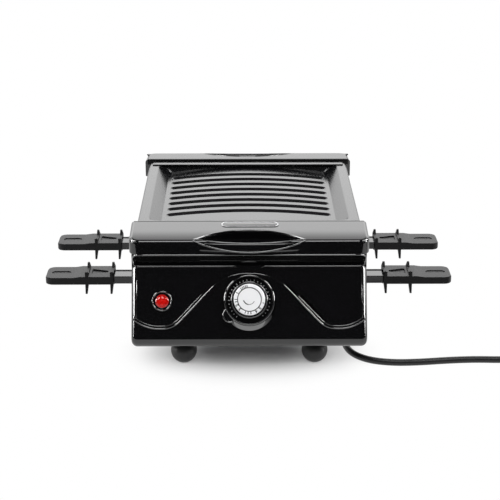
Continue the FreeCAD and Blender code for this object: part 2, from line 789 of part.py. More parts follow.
def knob():
    """Knob skirt and cap on the thermostat shaft; the surround with its ear stays on the panel."""
    skirt = rod(knob_skirt_d / 2, surround_floor + 0.4, skirt_h)
    skirt = skirt.makeFillet(1.2, edges_at(skirt, lambda c, e: c.z > skirt_h - 0.01))
    grip = rod(knob_cap_d / 2 - 1.6, skirt_h - 1, knob_face_h - 2.4)
    well = rod(9.5, surround_floor, surround_floor + nut_h + 1.6)
    bore = rod(shaft_d / 2 + screw_fit, surround_floor, skirt_h - 1.5)
    put("knob", on_panel(skirt.fuse(grip).cut([well, bore]), 0, knob_s))
    cap = rod(knob_cap_d / 2, skirt_h, knob_face_h)
    cap = cap.makeFillet(cap_round, edges_at(cap, lambda c, e: c.z > knob_face_h - 0.01))
    ring = rod(knob_disc_d / 2 + 0.5, knob_face_h - 0.6, knob_face_h + 1).cut(
        rod(knob_disc_d / 2 - 0.5, knob_face_h - 2, knob_face_h + 1)
    )
    seat = rod(knob_cap_d / 2 - 1.6, skirt_h - 1, knob_face_h - 2.4)
    put("knob_cap", on_panel(cap.cut([ring, seat]), 0, knob_s))
    shaft = rod(shaft_d / 2, -sensor_deep + 4, skirt_h - 1.8)
    put("thermostat_shaft", on_panel(shaft, 0, knob_s))

    cone = Part.makeCone((surround_d + surround_flare) / 2, surround_d / 2, surround_h)
    reach = V(ear_reach * math.cos(math.radians(ear_angle)), ear_reach * math.sin(math.radians(ear_angle)), 0)
    ear = Part.makeCone(ear_r + 0.8, ear_r, surround_h - 1, reach)
    well = rod(surround_d / 2 - surround_wall, surround_floor, surround_h + 1)
    hole = rod(surround_bore_r, -past, surround_h)
    mark = rod(ear_mark_r, surround_h - 1.8, surround_h, reach.x, reach.y)
    surround = cone.fuse(ear)
    outer = edges_at(surround, lambda c, e: c.z > surround_h - 0.01)
    surround = surround.makeFillet(0.9, outer).cut([well, hole, mark])
    put("knob_surround", on_panel(surround, 0, knob_s))


def thermostat():
    """Regulator box behind the panel, its threaded bushing through the panel and the nut outside."""
    back = -housing_wall
    case = box(-sensor_w / 2, sensor_w / 2, -sensor_h / 2, sensor_h / 2, back - sensor_deep, back)
    bushing = rod(bushing_d / 2, back - 1, surround_floor + nut_h + 0.8)
    tabs = []
    for x in (-tab_x, tab_x):
        foot_s = -sensor_h / 2
        tab_low = back - tab_back - tab_t
        tabs.append(box(x - tab_half, x + tab_half, foot_s - tab_len, foot_s, tab_low, back - tab_back))
    bore = rod(shaft_d / 2 + run_fit, back - sensor_deep + 4, surround_floor + nut_h + 2)
    put("thermostat", on_panel(fuse(case, bushing, *tabs).cut(bore), 0, knob_s))
    turns = [math.radians(60 * i) for i in range(6)]
    corners = [(nut_r * math.cos(turn), nut_r * math.sin(turn), 0.3) for turn in turns]
    nut = slab(corners, 0, nut_h).cut(rod(bushing_d / 2 + screw_fit, -1, nut_h + 1))
    put("thermostat_nut", on_panel(nut, 0, knob_s))


def pilot_light():
    base = -field_depth
    ring = Part.makeCone(bezel_d / 2, bezel_d / 2 - 1.4, bezel_h, V(0, 0, base))
    ring = ring.cut(rod(lens_d / 2 + fit, base - 1, base + bezel_h + 1))
    put("pilot_bezel", on_panel(ring, pilot_x, pilot_s))
    top = base + bezel_h
    radius = ((lens_d / 2) ** 2 + lens_rise**2) / (2 * lens_rise)
    dome = Part.makeSphere(radius, V(0, 0, top + lens_rise - radius)).common(rod(lens_d / 2, base, top + 9))
    stem = rod(lens_d / 2 - 1.0, -housing_wall - 4, base)
    lamp_bore = rod(lamp_r + fit, -housing_wall - 5, top - 1)
    put("pilot_lens", on_panel(fuse(dome, stem).cut(lamp_bore), pilot_x, pilot_s))
    put("neon_lamp", on_panel(rod(lamp_r, -housing_wall - lamp_reach, top - 1.5), pilot_x, pilot_s))


def wiring():
    """Inside the front housing: the lead's sheath in its clamp, the terminal block and the inner leads."""
    floor = housing_bottom_z + housing_wall
    inside = -cover_in - gland_lip
    put("cord_gland", gland())
    sheath_end = inside - sheath_len
    put("inner_sheath", Part.makeCylinder(cord_d / 2, sheath_len, V(gland_x, inside, gland_z), V(0, -1, 0)))
    near, roof = inside - clamp_in, gland_z + cord_d / 2 + 2.2
    clamp = box(gland_x - clamp_half, gland_x + clamp_half, near - clamp_deep, near, floor, roof)
    bore = Part.makeCylinder(cord_d / 2 + screw_fit, sheath_len, V(gland_x, inside, gland_z), V(0, -1, 0))
    put("cord_clamp", clamp.cut(bore))
    block_near = sheath_end - block_gap
    block_far = block_near - block_deep
    block = box(gland_x - block_half, gland_x + block_half, block_far, block_near, floor, floor + block_h)
    well_y = (block_near + block_far) / 2
    posts = (gland_x - block_post, gland_x, gland_x + block_post)
    wells = [rod(1.9, floor + block_h / 2, floor + block_h + past, x, well_y) for x in posts]
    put("terminal_block", block.cut(wells))
    leads = []
    for x in (-core_d - fit, 0, core_d + fit):
        start = V(gland_x + x, sheath_end, gland_z)
        leads.append(Part.makeCylinder(core_d / 2, sheath_end - block_near, start, V(0, -1, 0)))

    def panel_point(x, s, lift):
        return on_panel(Part.Vertex(0, 0, 0), x, s, lift).Point

    tab_s, tab_lift = knob_s - sensor_h / 2 - tab_len, -housing_wall - tab_back - tab_t / 2
    tab_y = -cover_in - cold_end_out - 10
    tab_under = element_z - tab_t / 2
    lamp_back = -housing_wall - lamp_reach
    mid_z = floor + block_h / 2
    side_x, side_z = cold_end_x + cold_end_out, element_z - 2 * cold_end_tab
    routes = [
        [
            (gland_x - block_post, block_far, mid_z + 2),
            (gland_x - block_post, block_far - 8, mid_z + 2),
            panel_point(tab_x, tab_s - 8, tab_lift),
            panel_point(tab_x, tab_s, tab_lift),
        ],
        [
            panel_point(-tab_x, tab_s, tab_lift),
            panel_point(-tab_x, tab_s - 7, tab_lift),
            (-cold_end_x, block_far - 2, floor + 2 * block_h),
            (-side_x, tab_y, side_z),
            (-cold_end_x, tab_y, tab_under - 10),
            (-cold_end_x, tab_y, tab_under),
        ],
        [
            (gland_x + block_post, block_far, mid_z + 2),
            (gland_x + block_post, block_far - 8, mid_z + 2),
            (side_x, block_far - 4, floor + 2.5 * block_h),
            (side_x, tab_y, side_z),
            (cold_end_x, tab_y, tab_under - 10),
            (cold_end_x, tab_y, tab_under),
        ],
        [
            panel_point(pilot_x, pilot_s, lamp_back),
            panel_point(pilot_x, pilot_s, lamp_back - 9),
            (pilot_x + pilot_in - block_post, block_far + 8, floor + 1.3 * block_h),
            (-cold_end_x + 8, block_far - 8, mid_z),
            (gland_x, block_far - 9, mid_z - 2),
            (gland_x, block_far, mid_z - 2),
        ],
    ]
    for route in routes:
        solid, length, radii = tube(route, lead_d)
        leads.append(solid)
    put("inner_leads", leads)


def gland():
    """Rubber bush through the front shield with a tapering sleeve towards the middle of the grill."""
    start = V(gland_x, -cover_in - gland_lip, gland_z)
    run = V(0, 1, 0)
    lip = Part.makeCylinder(gland_r, gland_lip, start, run)
    neck = Part.makeCylinder(gland_r - 0.4, sheet, start + run * gland_lip, run)
    flange = Part.makeCylinder(gland_r, gland_lip, start + run * (gland_lip + sheet), run)
    boot = Part.makeCone(gland_r, cord_d / 2 + 0.6, boot_len, start + run * (2 * gland_lip + sheet), run)
    return fuse(lip, neck, flange, boot)


def cord():
    """Free lead from the gland to the coil, the coil in two layers, the lead to the plug, tie and plug."""
    lie = cord_d / 2 + floor_lift
    gland_end = -cover_in + sheet + gland_lip + boot_len
    inner_r = coil_mean_r - coil_turns * coil_step / 2
    outer_r = coil_mean_r + coil_turns * coil_step / 2
    low_z = cord_d / 2 + tie_t + tie_gap
    high_z = low_z + coil_step
    coil_start = V(coil_x - cord_d, coil_y - outer_r, low_z)
    route = [
        (gland_x, gland_end, gland_z),
        (gland_x, -70.0, gland_z),
        (37.0, -49.5, 26.0),
        (61.5, -41.5, 16.0),
        (86.0, -49.5, 8.0),
        (101.0, -70.0, 4.2),
        (100.0, -96.0, lie),
        (99.5, -122.0, lie),
        (105.0, -147.0, lie),
        (121.5, -164.0, lie),
        (146.0, -170.5, lie),
        (174.0, -169.0, lie),
        (203.0, -164.5, lie),
        (231.0, -162.5, lie),
        (258.0, -164.0, lie),
        (283.0, coil_start.y, coil_start.z),
        (coil_start.x, coil_start.y, coil_start.z),
    ]
    free, free_len, radii = tube(route, cord_d)
    print("cord radii", [round(r) for r in radii])
    print("cord volume ratio", free.Volume / (math.pi * cord_d**2 / 4 * free_len))
    put("power_cord", free)

    start_angle = -math.pi / 2
    middle = coil_turns * 2 * math.pi

    def point(t):
        r = inner_r + coil_step * abs(t - middle) / (2 * math.pi)
        u = min(max((t - middle) / math.pi + 0.5, 0.0), 1.0)
        z = low_z + (high_z - low_z) * u * u * (3 - 2 * u)
        return V(coil_x + r * math.cos(start_angle + t), coil_y + r * math.sin(start_angle + t), z)

    def heading(t):
        step = 1e-4
        return (point(t + step) - point(t - step)).normalize()

    steps = int(round(2 * coil_turns * 4))
    total = 2 * middle
    edges = [Part.LineSegment(coil_start, point(0)).toShape()]
    headings = [V(1, 0, 0)] + [heading(total * i / steps) for i in range(1, steps)] + [V(1, 0, 0)]
    for i in range(steps):
        a, b = point(total * i / steps), point(total * (i + 1) / steps)
        edges += biarc(a, headings[i], b, headings[i + 1])
    coil_end = point(total) + V(cord_d, 0, 0)
    edges.append(Part.LineSegment(point(total), coil_end).toShape())
    path = Part.Wire(edges)
    ring = Part.Wire(Part.makeCircle(cord_d / 2, coil_start, V(1, 0, 0)))
    coil = path.makePipeShell([ring], True, False)
    put("cord_coil", coil)
    print("coil volume ratio", coil.Volume / (math.pi * cord_d**2 / 4 * path.Length), "valid", coil.isValid())
    samples = []
    count = 360
    for i in range(count + 1):
        samples.append((total * i / count, point(total * i / count)))
    nearest = min(
        (p - q).Length for i, (t, p) in enumerate(samples) for u, q in samples[i + 1 :] if u - t > math.pi
    )
    print("coil least gap to itself", round(nearest - cord_d, 2))

    plug_axis = plug_d / 2 + floor_lift
    lead = [
        (coil_end.x, coil_end.y, coil_end.z),
        (coil_end.x + 20, coil_end.y, coil_end.z),
        (coil_end.x + 42, coil_end.y - 3, coil_end.z + 3.5),
        (coil_end.x + 64, plug_y, plug_axis),
        (coil_end.x + 84, plug_y, plug_axis),
    ]
    tail, tail_len, radii = tube(lead, cord_d)
    print("plug lead radii", [round(r) for r in radii])
    put("plug_lead", tail)
    print("lead in all", round(free_len + path.Length + tail_len), "mm")

    angle = math.radians(tie_angle)
    t = angle - start_angle
    radii_there = []
    while t < total:
        radii_there.append(inner_r + coil_step * abs(t - middle) / (2 * math.pi))
        t += 2 * math.pi
    near = min(radii_there) - cord_d / 2
    near -= tie_w**2 / (8 * near) + tie_gap
    far = max(radii_there) + cord_d / 2 + tie_gap
    roof = high_z + cord_d / 2 + tie_gap
    band = box(near - tie_t, far + tie_t, -tie_w / 2, tie_w / 2, 0, roof + tie_t)
    band = band.cut(box(near, far, -tie_w, tie_w, tie_t, roof))
    band.rotate(V(0, 0, 0), V(0, 0, 1), tie_angle)
    band.translate(V(coil_x, coil_y, 0))
    put("cord_tie", band)
    plug(V(*lead[-1]))


def biarc(a, go_a, b, go_b):
    """Two arcs, smooth at their joint, from a heading go_a to b heading go_b."""
    gap = b - a
    both = go_a + go_b
    c2 = 2 * (1 - go_a.dot(go_b))
    c1 = 2 * gap.dot(both)
    reach = (-c1 + math.sqrt(c1 * c1 + 4 * c2 * gap.dot(gap))) / (2 * c2)
    joint = (a + go_a * reach + b - go_b * reach) * 0.5
    edges = []
    for start, corner, end in ((a, a + go_a * reach, joint), (joint, b - go_b * reach, b)):
        back = (start - corner).normalize()
        on = (end - corner).normalize()
        half = back.getAngle(on) / 2
        side = (start - corner).Length
        r = side * math.tan(half)
        middle = corner + (back + on).normalize() * (r / math.sin(half) - r)
        edges.append(Part.Arc(start, middle, end).toShape())
    return edges


def plug(start):
    """Round two-pin mains plug with side earth grooves, lying on the table."""
    run = V(1, 0, 0)
    sleeve = Part.makeCone(cord_d / 2 + 1.2, 7.5, plug_sleeve, start, run)
    neck = Part.makeCone(9.0, plug_d / 2, plug_neck, start + run * plug_sleeve, run)
    body = Part.makeCylinder(plug_d / 2, plug_len, start + run * (plug_sleeve + plug_neck), run)
    end_x = start.x + plug_sleeve + plug_neck + plug_len
    grooves = []
    for z in (start.z - plug_d / 2 - 1, start.z + plug_d / 2 - 2.2):
        grooves.append(box(end_x - 20, end_x + 1, start.y - 2.6, start.y + 2.6, z, z + 3.2))
    put("plug_body", fuse(sleeve, neck, body).cut(grooves))
    pins = []
    for y in (-pin_pitch / 2, pin_pitch / 2):
        pin = Part.makeCylinder(pin_d / 2, pin_len, V(end_x, start.y + y, start.z), run)
        tip = edges_at(pin, lambda c, e: c.x > end_x + pin_len - 0.01)
        pins.append(pin.makeFillet(pin_round, tip))
    put("plug_pins", pins)


grill_plate()
top_cover()
lower_housing(True)
lower_housing(False)
heat_shield(True)
heat_shield(False)
base_tray()
feet()
element()
pan_set()
knob()
thermostat()
pilot_light()
wiring()
cord()

cap_round_middle = (knob_cap_d / 2 - cap_round) * math.sin(tilt) + (knob_face_h - cap_round) * math.cos(tilt)
cap_round_out = cap_round_middle + cap_round
front_reach = panel_foot_out - knob_s * math.sin(tilt) + cap_round_out
corner_out = panel_top_out + (panel_top_z - housing_bottom_z) * math.tan(tilt)
rear_reach = corner_out + bottom_round - bottom_round / math.tan((math.pi / 2 - tilt) / 2)
middle_y = (front_reach - rear_reach) / 2
print("moved back by", round(middle_y, 4), "so that the origin is below the middle")

os.makedirs("parts", exist_ok=True)
for name, shape in shapes.items():
    if not shape.isValid():
        print("not valid:", name)
    shape.translate(V(0, middle_y, 0))
    shape.exportStep(f"parts/{name}.step")
print(len(shapes), "nodes")
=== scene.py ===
# %% [markdown]
# # A table-top raclette grill
# Two glossy black mouldings stand on four rubber balls and carry a cast plate between them. Four small
# pans slide in from the sides. The sizes of every solid come from the construction model, which is loaded
# first as a fixed frame; this file gives it its looks. The frame is in metres, +X is right, +Y is back and
# +Z is up. The sizes of pieces below are in millimetres, as in a workshop, and are turned to metres where
# they are used. The camera, the table and the lamps stand at places in metres.

# %% Load the frame
import bpy
import json
import math
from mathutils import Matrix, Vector

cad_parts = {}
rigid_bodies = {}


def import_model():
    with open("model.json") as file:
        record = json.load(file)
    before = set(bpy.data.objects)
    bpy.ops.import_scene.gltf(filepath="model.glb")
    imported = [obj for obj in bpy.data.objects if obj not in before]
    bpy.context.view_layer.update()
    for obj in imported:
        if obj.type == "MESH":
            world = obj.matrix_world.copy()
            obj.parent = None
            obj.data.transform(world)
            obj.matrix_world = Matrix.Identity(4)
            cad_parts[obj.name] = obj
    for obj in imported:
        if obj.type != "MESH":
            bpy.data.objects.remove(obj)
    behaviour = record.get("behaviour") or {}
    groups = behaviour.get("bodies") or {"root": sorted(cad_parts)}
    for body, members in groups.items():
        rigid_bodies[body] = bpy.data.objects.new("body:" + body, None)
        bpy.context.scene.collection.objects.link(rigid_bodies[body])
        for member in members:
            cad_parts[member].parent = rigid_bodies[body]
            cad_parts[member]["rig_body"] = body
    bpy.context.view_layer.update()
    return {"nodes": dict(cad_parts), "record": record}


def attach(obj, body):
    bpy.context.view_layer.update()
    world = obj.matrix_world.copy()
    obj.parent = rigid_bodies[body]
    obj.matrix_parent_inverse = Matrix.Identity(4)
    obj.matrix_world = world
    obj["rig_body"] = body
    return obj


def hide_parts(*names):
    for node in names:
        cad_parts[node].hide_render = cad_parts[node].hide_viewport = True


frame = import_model()

# %% [markdown]
# ## The camera
# The picture shows the grill from straight in front and a little above. The two rows of pan handles are
# the same real length, so how much smaller the back row looks gives the distance: a 100 mm lens about 1.5
# m away, looking down 20 degrees. It could also be aimed by a constraint, but a place and two angles are
# easier to check.

# %% Camera
mm = 0.001
look_down, look_left = 20, -0.387


def made(name, data):
    """A new object with this data, linked into the scene."""
    thing = bpy.data.objects.new(name, data)
    bpy.context.scene.collection.objects.link(thing)
    return thing


camera = made("camera", bpy.data.cameras.new("camera"))
camera.data.lens = 100
camera.data.sensor_width = 36
camera.location = (-0.008, -1.44912, 0.5926)
camera.rotation_euler = (math.radians(90 - look_down), 0, math.radians(look_left))
bpy.context.scene.camera = camera
print("camera at", tuple(round(v, 3) for v in camera.location))

# %% [markdown]
# ## The mains lead
# A rubber lead of 7 mm leaves the inner wall of the front housing under the grill, drops to the table,
# comes out beside the right front foot and runs off to the right. What the picture doesn't show of it is
# put away in a neat tied coil of two layers with its plug beside it. Straight pieces joined by arcs would
# look like bent wire, so it is one smooth curve, and the coil's turns are simply more points of that
# curve.

# %% Points along the lead
shift_y = 4.5302  # the middle between front and rear housing lies this far behind the origin
lead_route = [
    (22, -96.1, 33), (22, -70, 33), (37, -49.5, 26), (61.5, -41.5, 16), (86, -49.5, 8), (101, -70, 4.2),
    (100, -96, 3.55), (99.5, -122, 3.55), (105, -147, 3.55), (121.5, -164, 3.55), (146, -170.5, 3.55),
    (174, -169, 3.55), (203, -164.5, 3.55), (231, -162.5, 3.55), (258, -164, 3.55), (283, -163.5, 4.45),
    (305, -163.5, 4.45),
]
coil_x, coil_y, inner_turn, turn_pitch = 312, -118, 26.5, 7.6
low_layer, high_layer, coil_turns, points_per_turn = 4.45, 12.05, 5, 16
halfway = coil_turns * math.pi
for i in range(coil_turns * points_per_turn + 1):
    wound = 2 * math.pi * i / points_per_turn
    reach = inner_turn + turn_pitch * abs(wound - halfway) / (2 * math.pi)
    climb = min(max((wound - halfway) / math.pi + 0.5, 0), 1)
    height = low_layer + (high_layer - low_layer) * climb * climb * (3 - 2 * climb)
    angle = wound - math.pi / 2
    lead_route.append((coil_x + reach * math.cos(angle), coil_y + reach * math.sin(angle), height))
lead_route += [
    (319, -163.5, 12.05), (339, -163.5, 12.05), (361, -166.5, 15.55), (383, -174, 18.55), (403, -174, 18.55),
]
print("points along the lead", len(lead_route))

# %% [markdown]
# The points steer a NURBS line of order 3, which rounds every corner by itself. A round section makes it a
# lead.

# %% The lead itself
lead_radius = 3.5
lead_curve = bpy.data.curves.new("mains_lead", "CURVE")
lead_curve.dimensions = "3D"
line = lead_curve.splines.new("NURBS")
line.points.add(len(lead_route) - 1)
for point, (x, y, z) in zip(line.points, lead_route):
    point.co = (x * mm, (y + shift_y) * mm, z * mm, 1)
line.order_u = 3
line.use_endpoint_u = True
line.resolution_u = 6
lead_curve.bevel_depth = lead_radius * mm
lead_curve.bevel_resolution = 5
lead_curve.use_fill_caps = True
mains_lead = made("mains_lead", lead_curve)
print("lead made as one line of", len(line.points), "points")

# %% [markdown]
# ## Helpers for shaping by hand
# Most pieces below are made as they would be by hand: add a primitive, go into edit mode, pick faces or
# edges by where they are, and extrude, inset or bevel them. These few helpers keep each step to one line.

# %% Picking and finishing
ops = bpy.ops


def alone(thing):
    """Make one object the only one selected, and the active one."""
    ops.object.select_all(action="DESELECT")
    thing.select_set(True)
    bpy.context.view_layer.objects.active = thing
    return thing


def pick(thing, kind, test):
    """In edit mode, select the faces, edges or vertices whose place and direction pass; return how many."""
    ops.mesh.select_mode(type=kind)
    ops.mesh.select_all(action="DESELECT")
    ops.object.mode_set(mode="OBJECT")
    mesh, count = thing.data, 0
    for item in {"FACE": mesh.polygons, "EDGE": mesh.edges, "VERT": mesh.vertices}[kind]:
        if kind == "FACE":
            ok = test(item.center, item.normal)
        elif kind == "EDGE":
            a, b = (mesh.vertices[v].co for v in item.vertices)
            ok = test((a + b) / 2, (b - a).normalized())
        else:
            ok = test(item.co, item.normal)
        if ok:
            item.select = True
            count += 1
    ops.object.mode_set(mode="EDIT")
    return count


def finish_mesh(thing, name, smooth=35):
    """Leave edit mode, put the place into the mesh, shade it smooth up to an angle and name it."""
    if bpy.context.mode != "OBJECT":
        ops.object.mode_set(mode="OBJECT")
    alone(thing)
    ops.object.transform_apply(location=True, rotation=True, scale=True)
    ops.object.shade_smooth_by_angle(angle=math.radians(smooth))
    thing.name = name
    thing.data.name = name
    return thing


def belongs(thing, finish, body):
    """Give a new piece its finish and the body it moves with."""
    thing.data.materials.clear()
    thing.data.materials.append(finish)
    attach(thing, body)
    return thing


print("helpers ready")

# %% [markdown]
# A solid from the construction model has knife edges and is made of loose triangles. A softened copy has
# its triangles joined into flat faces and a small round put on every sharp edge, and stands in for the
# solid.

# %% Softened copies


def softened(node, name, width, segments, finish):
    """A copy of a solid whose sharp edges get the small round that a real moulding or casting has."""
    source = frame["nodes"][node]
    thing = made(name, source.data.copy())
    alone(thing)
    ops.object.mode_set(mode="EDIT")
    ops.mesh.select_all(action="SELECT")
    ops.mesh.customdata_custom_splitnormals_clear()
    ops.mesh.remove_doubles(threshold=0.005 * mm)
    ops.mesh.dissolve_limited(angle_limit=math.radians(0.6))
    ops.object.mode_set(mode="OBJECT")
    rounding = thing.modifiers.new("rounding", "BEVEL")
    rounding.width = width * mm
    rounding.segments = segments
    rounding.limit_method = "ANGLE"
    rounding.angle_limit = math.radians(28)
    rounding.use_clamp_overlap = True
    ops.object.modifier_apply(modifier="rounding")
    finish_mesh(thing, name, 40)
    flat = thing.modifiers.new("flat_faces", "WEIGHTED_NORMAL")
    flat.keep_sharp = True
    flat.weight = 100
    ops.object.modifier_apply(modifier="flat_faces")
    belongs(thing, finish, source["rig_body"])
    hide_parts(node)
    print(name, len(thing.data.polygons), "faces")
    return thing


print("softening ready")

# %% [markdown]
# ## Colours and finishes
# A finish starts from what the real stuff is. Colours are written as the usual hex values and turned to
# linear light once, here, and one helper adds a node with its settings and what goes into it.

# %% Colour and node helpers


def hex_colour(text):
    """Linear light of an sRGB hex colour, with alpha 1."""
    parts = [int(text[i : i + 2], 16) / 255 for i in (0, 2, 4)]
    linear = [v / 12.92 if v <= 0.04045 else ((v + 0.055) / 1.055) ** 2.4 for v in parts]
    return (*linear, 1)


def add(tree, kind, inputs=None, **settings):
    """Add a node with its settings; each input, by name or number, is given a link or a plain value."""
    node = tree.nodes.new(kind)
    for key, value in settings.items():
        setattr(node, key, value)
    for key, value in (inputs or {}).items():
        if isinstance(value, bpy.types.NodeSocket):
            tree.links.new(value, node.inputs[key])
        else:
            node.inputs[key].default_value = value
    return node


def start_finish(name):
    """A new empty material, its node tree and the place on the piece."""
    finish = bpy.data.materials.new(name)
    finish.use_nodes = True
    tree = finish.node_tree
    tree.nodes.clear()
    return finish, tree, add(tree, "ShaderNodeTexCoord").outputs["Object"]


print("black as light", [round(v, 4) for v in hex_colour("0a0a0c")[:3]])

# %% [markdown]
# Every stuff here is one colour with a grain. The grain, as large as the real one in millimetres, varies
# the roughness and lifts the surface a little, and a slow cloud shifts the colour between two near shades.
# An image would do as well, but it would show seams and stretch where a pattern in space doesn't.

# %% One kind of finish for all


def rolled(tree, place):
    """A normal that bows down more and more past a line, as a thick lip that has shrunk in its mould."""
    line_out, bow = 132, 1.6
    split = add(tree, "ShaderNodeSeparateXYZ", {0: place})
    across = add(tree, "ShaderNodeMath", {0: split.outputs["Y"], 1: shift_y * mm}, operation="SUBTRACT")
    out = add(tree, "ShaderNodeMath", {0: across.outputs[0]}, operation="ABSOLUTE")
    past = add(tree, "ShaderNodeMath", {0: out.outputs[0], 1: line_out * mm}, operation="SUBTRACT")
    past = add(tree, "ShaderNodeMath", {0: past.outputs[0], 1: 0}, operation="MAXIMUM")
    square = add(tree, "ShaderNodeMath", {0: past.outputs[0], 1: past.outputs[0]}, operation="MULTIPLY")
    drop = add(tree, "ShaderNodeMath", {0: square.outputs[0], 1: -bow}, operation="MULTIPLY")
    return add(tree, "ShaderNodeBump", {"Height": drop.outputs[0], "Strength": 1, "Distance": 1}).outputs[0]


def speckled(name, dark, light, grain_mm, rough, bump_mm, grain_detail=3, crown=False, **shader_values):
    """A finish whose colour, roughness and fine relief vary with a grain of a real size."""
    finish, tree, place = start_finish(name)
    cloud_mm = 45
    grain_scale, cloud_scale = 1 / (grain_mm * mm), 1 / (cloud_mm * mm)
    grain = add(tree, "ShaderNodeTexNoise", {"Vector": place, "Scale": grain_scale, "Detail": grain_detail})
    cloud = add(tree, "ShaderNodeTexNoise", {"Vector": place, "Scale": cloud_scale, "Detail": 2})
    shades = {0: cloud.outputs["Fac"], 6: hex_colour(dark), 7: hex_colour(light)}
    tint = add(tree, "ShaderNodeMix", shades, data_type="RGBA")
    spread = {"Value": grain.outputs["Fac"], "From Min": 0.3, "From Max": 0.7}
    roughness = add(tree, "ShaderNodeMapRange", {**spread, "To Min": rough[0], "To Max": rough[1]})
    relief_in = {"Height": grain.outputs["Fac"], "Strength": 0.35, "Distance": bump_mm * mm}
    if crown:
        relief_in["Normal"] = rolled(tree, place)
    relief = add(tree, "ShaderNodeBump", relief_in)
    surface = {"Base Color": tint.outputs[2], "Roughness": roughness.outputs[0], "Normal": relief.outputs[0]}
    surface.update({key.replace("_", " "): value for key, value in shader_values.items()})
    shader = add(tree, "ShaderNodeBsdfPrincipled", surface)
    add(tree, "ShaderNodeOutputMaterial", {"Surface": shader.outputs[0]})
    return finish


print("finish helper ready")

# %% [markdown]
# ## Black mouldings
# The housings are ABS from a polished mould: near mirrors, with the slow waviness that thick walls get as
# they cool. The raised lines on them are moulded in the same stuff, but here they mirror more strongly
# than it does, so that such thin lines still show in a small picture. The front cover rolls down a little
# towards its lip, which darkens it there: a bent normal shows it, and its mesh stays flat. Handles are
# phenolic resin from an eroded mould, so dull; feet and lead are soft rubber; the bits behind the panel
# are cream nylon. The refractive indices of the black finishes start from usual values and were then
# matched to the picture.

# %% Black mouldings and rubber
wavy = (30, (0.05, 0.09), 0.02, 1)
gloss_black = speckled("polished_black_abs", "060607", "09090b", *wavy, IOR=1.68)
crowned_black = speckled("polished_black_abs_crowned", "060607", "09090b", *wavy, crown=True, IOR=1.68)
bead_black = speckled("lacquered_black_bead", "060607", "09090b", 30, (0.04, 0.07), 0.01, 1, IOR=2.6)
satin_black = speckled("eroded_black_resin", "050506", "080809", 0.8, (0.36, 0.46), 0.03, IOR=1.3)
foot_rubber = speckled("soft_black_rubber", "0b0b0c", "121213", 1.2, (0.38, 0.55), 0.04, IOR=1.5)
lead_rubber = speckled("black_lead_sheath", "09090a", "101011", 1.0, (0.32, 0.45), 0.04, IOR=1.5)
inner_cream = speckled("cream_inner_moulding", "d8d2c2", "e2dccd", 2, (0.45, 0.6), 0.03, IOR=1.5)
print("black mouldings ready")

# %% [markdown]
# ## Metals and coats
# The plate is cast aluminium under a dark non-stick coat, sprayed on and baked, so satin with a fine
# tooth. The same coat on the thin steel of the pans is smoother and shinier. Bare steel, zinc plate,
# nickel and the tube browned by heat are metals, whose colour lies in their mirror. The knob's cap is
# plastic painted satin silver, and the thin sleeve on the inner leads is woven glass.

# %% Metals and coats
plate_coat = speckled("nonstick_coat_on_casting", "0d0d0e", "131315", 0.9, (0.16, 0.22), 0.015, IOR=1.55)
pan_coat = speckled("nonstick_coat_on_sheet", "0b0b0c", "111113", 1.1, (0.1, 0.16), 0.006, IOR=1.5)
sheet_steel = speckled("plain_sheet_steel", "9b9b9e", "adadb0", 1.6, (0.28, 0.42), 0.02, Metallic=1.0)
screw_steel = speckled("zinc_plated_steel", "a8a8a6", "bcbcb9", 0.9, (0.25, 0.4), 0.02, Metallic=1.0)
tube_steel = speckled("heat_darkened_steel_tube", "4a443f", "665c54", 3, (0.35, 0.5), 0.03, Metallic=1.0)
cap_silver = speckled("satin_silver_paint", "ececee", "f4f4f5", 0.7, (0.3, 0.4), 0.01, Metallic=0.15)
pin_metal = speckled("nickel_plated_brass", "c2bba6", "d2ccb8", 1.0, (0.15, 0.25), 0.01, Metallic=1.0)
sleeve_grey = speckled("woven_lead_sleeve", "b3b2ad", "c5c4bf", 0.6, (0.6, 0.75), 0.05)
print("metals and coats ready")

# %% [markdown]
# The pilot lens is clear red plastic: light goes in, scatters a little and comes out red. The lamp in it
# is glass. The marks are printed in dull ink, black on the silver cap and pale on the black surround. The
# same black ink also paints shade: in the cap's groove and along the edge of a dimple on the cap.

# %% Red lens, lamp glass and inks
clear_red = (2, (0.04, 0.08), 0.01)
red_lens = speckled("clear_red_lens", "e01410", "f02018", *clear_red, IOR=1.49, Transmission_Weight=0.35)
clear_glass = (2, (0.03, 0.06), 0.01)
lamp_glass = speckled("lamp_glass", "ffd9b8", "ffe6cf", *clear_glass, IOR=1.5, Transmission_Weight=0.9)
# Black ink for the cap's printed marks; the same finish also paints shade in the cap's groove and at its
# dimple edge.
black_ink_and_painted_shade = speckled("black_print_and_painted_shade", "0a0a0b", "101012", 1, (0.45, 0.55), 0.01)
mark_white = speckled("printed_white_ink", "c9c9c9", "d6d6d6", 1, (0.45, 0.55), 0.01)
print("lens, glass and inks ready")

# %% [markdown]
# ## A finish for every solid
# The record says which material each solid is of, so one table from material to finish dresses them all.

# %% Give every solid its finish
finish_of_slot = {
    "black_gloss": gloss_black, "handle_plastic": satin_black, "cast_plate": plate_coat,
    "pan_sheet": pan_coat, "steel_sheet": sheet_steel, "screw_steel": screw_steel,
    "element_tube": tube_steel, "foot_rubber": foot_rubber, "cord_rubber": lead_rubber,
    "satin_cap": cap_silver, "shaft_steel": screw_steel, "inner_plastic": inner_cream,
    "red_lens": red_lens, "lamp_glass": lamp_glass, "lead_cover": sleeve_grey, "pin_brass": pin_metal,
}
slot_of_node = {part["node"]: part["material_slot"] for part in frame["record"]["subparts"]}
for name, node in frame["nodes"].items():
    node.data.materials.clear()
    node.data.materials.append(finish_of_slot[slot_of_node[name]])
print("solids with a finish", len(frame["nodes"]), "of", len(slot_of_node), "in the record")

# %% [markdown]
# ## Softened edges
# No real moulding has a knife edge: the plate, covers, housings, pans and handles all get their small
# rounds here, because a round edge is what catches the light and makes the thin bright lines that the eye
# reads as real.

